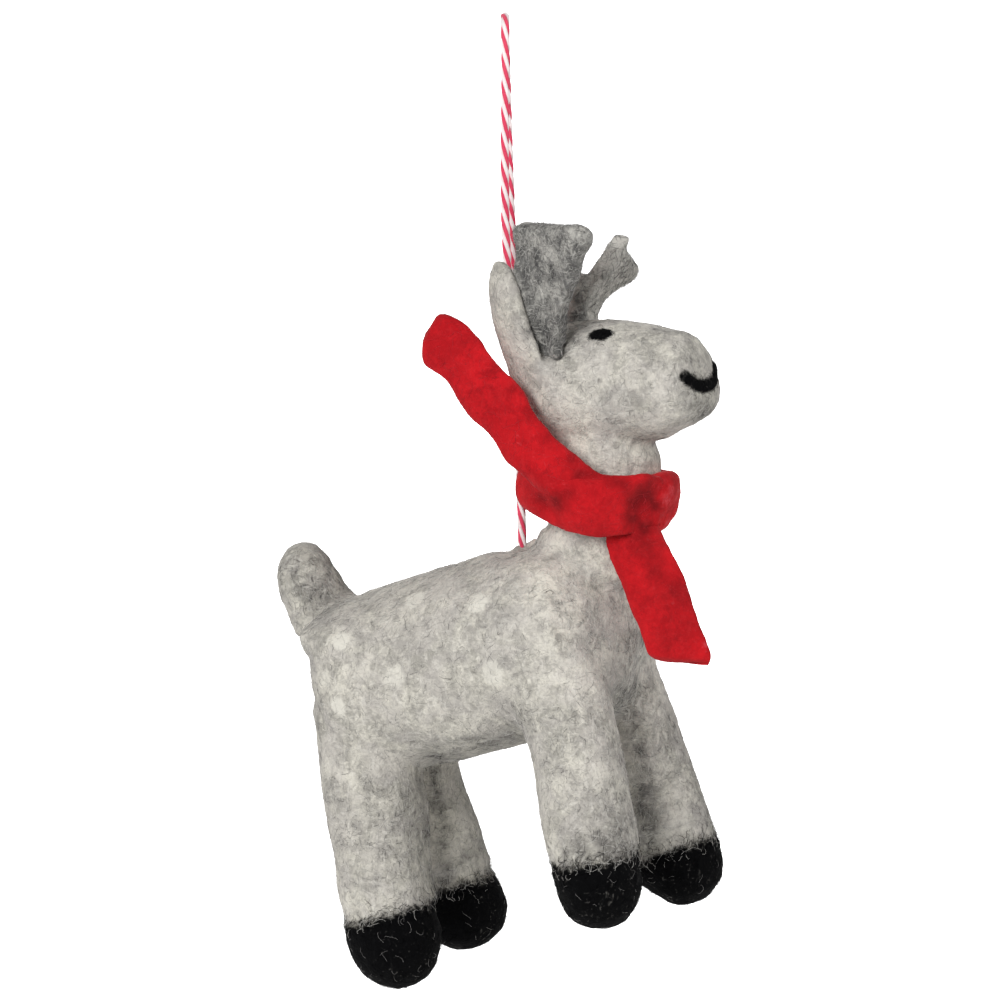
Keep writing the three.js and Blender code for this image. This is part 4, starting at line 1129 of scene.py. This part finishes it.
riders.append(layHairs("faceHairs", skin, blackHair, {**bodyHair, "count": 300, "length": (0.7, 1.8), "radius": (0.02, 0.036), "lift": 0.2, "seed": 95}, nearFace))
hoofHair = {**bodyHair, "length": (1.0, 3.2), "radius": (0.02, 0.036), "arch": 0.2}
riders.append(layHairs("rimHairs", skin, blackHair, {**hoofHair, "count": 1400, "lift": 0.14, "seed": 96}, nearRim))
riders.append(layHairs("rimPaleHairs", skin, paleHair, {**hoofHair, "count": 500, "radius": (0.015, 0.026), "lift": 0.2, "seed": 97}, nearRim))
for k, hoof in enumerate(hooves.values()):
    riders.append(layHairs(f"{hoof.name}Hairs", hoof, greyHair, {**hoofHair, "count": 70, "radius": (0.012, 0.022), "seed": 100 + k}))
    riders.append(layHairs(f"{hoof.name}Nap", hoof, blackHair, {**hoofHair, "count": 500, "seed": 110 + k}))
for k, (flank, antler) in enumerate(antlers.items()):
    tuft = {**bodyHair, "length": (1.0, 3.2), "arch": 0.18, "loose": 0.25}
    riders.append(layHairs(f"{flank}AntlerPaleHairs", antler, greyHair, {**tuft, "count": 900, "seed": 120 + k}))
    riders.append(layHairs(f"{flank}AntlerWhiteHairs", antler, paleHair, {**tuft, "count": 500, "seed": 124 + k}))
    riders.append(layHairs(f"{flank}AntlerDarkHairs", antler, darkHair, {**tuft, "count": 700, "seed": 128 + k}))
scarfHair = {"length": (1.5, 4.5), "radius": (0.012, 0.024), "curl": 0.35, "arch": 0.08, "lift": 0.02, "count": 500}
riders.append(layHairs("loopHairs", scarfLoop, redHair, {**scarfHair, "seed": 130}))
rearHairs = layHairs("rearStripHairs", scarfRear, redHair, {**scarfHair, "seed": 131})
frontHairs = layHairs("frontTailHairs", scarfFront, redHair, {**scarfHair, "count": 350, "seed": 132})
print("all hairs laid")

for piece in riders:
    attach(piece, "deer")
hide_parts("torso", "neck", "head", "tail", "right_ear", "left_ear", *[f"{limb}_leg" for limb in limbs])
for limb, hoof in hooves.items():
    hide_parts(f"{limb}_hoof")
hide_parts(*[f"{flank}_spot_{n}" for flank in flanks for n in range(1, 10)])
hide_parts("right_eye", "left_eye")
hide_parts("mouth")
for flank, antler in antlers.items():
    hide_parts(f"{flank}_antler")
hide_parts("scarf_wrap")
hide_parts("scarf_rear_tail")
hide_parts("scarf_front_tail")
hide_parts("twine_loop", "twine_root", "twine_anchor")

for piece in (scarfRear, rearHairs):
    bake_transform(piece)
for piece in (scarfFront, frontHairs):
    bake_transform(piece)
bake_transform(cord)


def buildStage():
    bm = bmesh.new()
    bmesh.ops.create_circle(bm, cap_ends=True, segments=96, radius=14)
    bmesh.ops.translate(bm, verts=bm.verts[:], vec=(0, 0, -0.6))
    floor = fromBmesh("floor", bm)
    material, tree, shader = newMaterial("paleFloor", roughness=0.9, sheen=0)
    place = put(tree, "ShaderNodeTexCoord").outputs["Object"]
    tone = put(tree, "ShaderNodeTexNoise", {"Vector": place, "Scale": 3}).outputs[0]
    tree.links.new(blendOf(tree, tone, (0.80, 0.80, 0.80), (0.82, 0.82, 0.82)), shader.inputs["Base Color"])
    floor.data.materials.append(material)
    world = bpy.data.worlds.new("studio")
    scene.world = world
    world.use_nodes = True
    world.node_tree.nodes["Background"].inputs["Color"].default_value = (1, 1, 1, 1)
    world.node_tree.nodes["Background"].inputs["Strength"].default_value = 0.22


lights = [  # name, place as across, upward, toward in metres, size in metres, watts
    ("keyLight", (-0.95, 0.6, 1.6), 0.9, 32),
    ("fillLight", (1.4, 0.5, 0.9), 1.0, 12),
]
backdrop = {"behind": 4.0, "height": 0.65, "long": 5.4, "wide": 2.4, "power": 170}


def buildLights():
    for name, (x, y, z), size, power in lights:
        data = bpy.data.lights.new(name, "AREA")
        data.shape = "DISK"
        data.size = size
        data.energy = power
        light = bpy.data.objects.new(name, data)
        scene.collection.objects.link(light)
        offset = across * x + upward * y + toward * z
        light.matrix_world = Matrix.Translation(aim + offset) @ offset.to_track_quat("Z", "Y").to_matrix().to_4x4()
    data = bpy.data.lights.new("backdropLight", "AREA")  # looks straight down on the floor behind the ornament
    data.shape = "RECTANGLE"
    data.size, data.size_y = backdrop["wide"], backdrop["long"]
    data.energy = backdrop["power"]
    light = bpy.data.objects.new("backdropLight", data)
    scene.collection.objects.link(light)
    away = Vector((-toward.x, -toward.y, 0)).normalized() * backdrop["behind"]
    light.matrix_world = Matrix.Translation((away.x, away.y, backdrop["height"])) @ Matrix.Rotation(turn, 4, "Z")


buildStage()
buildLights()
scene.view_settings.view_transform = "Standard"
print("stage set")
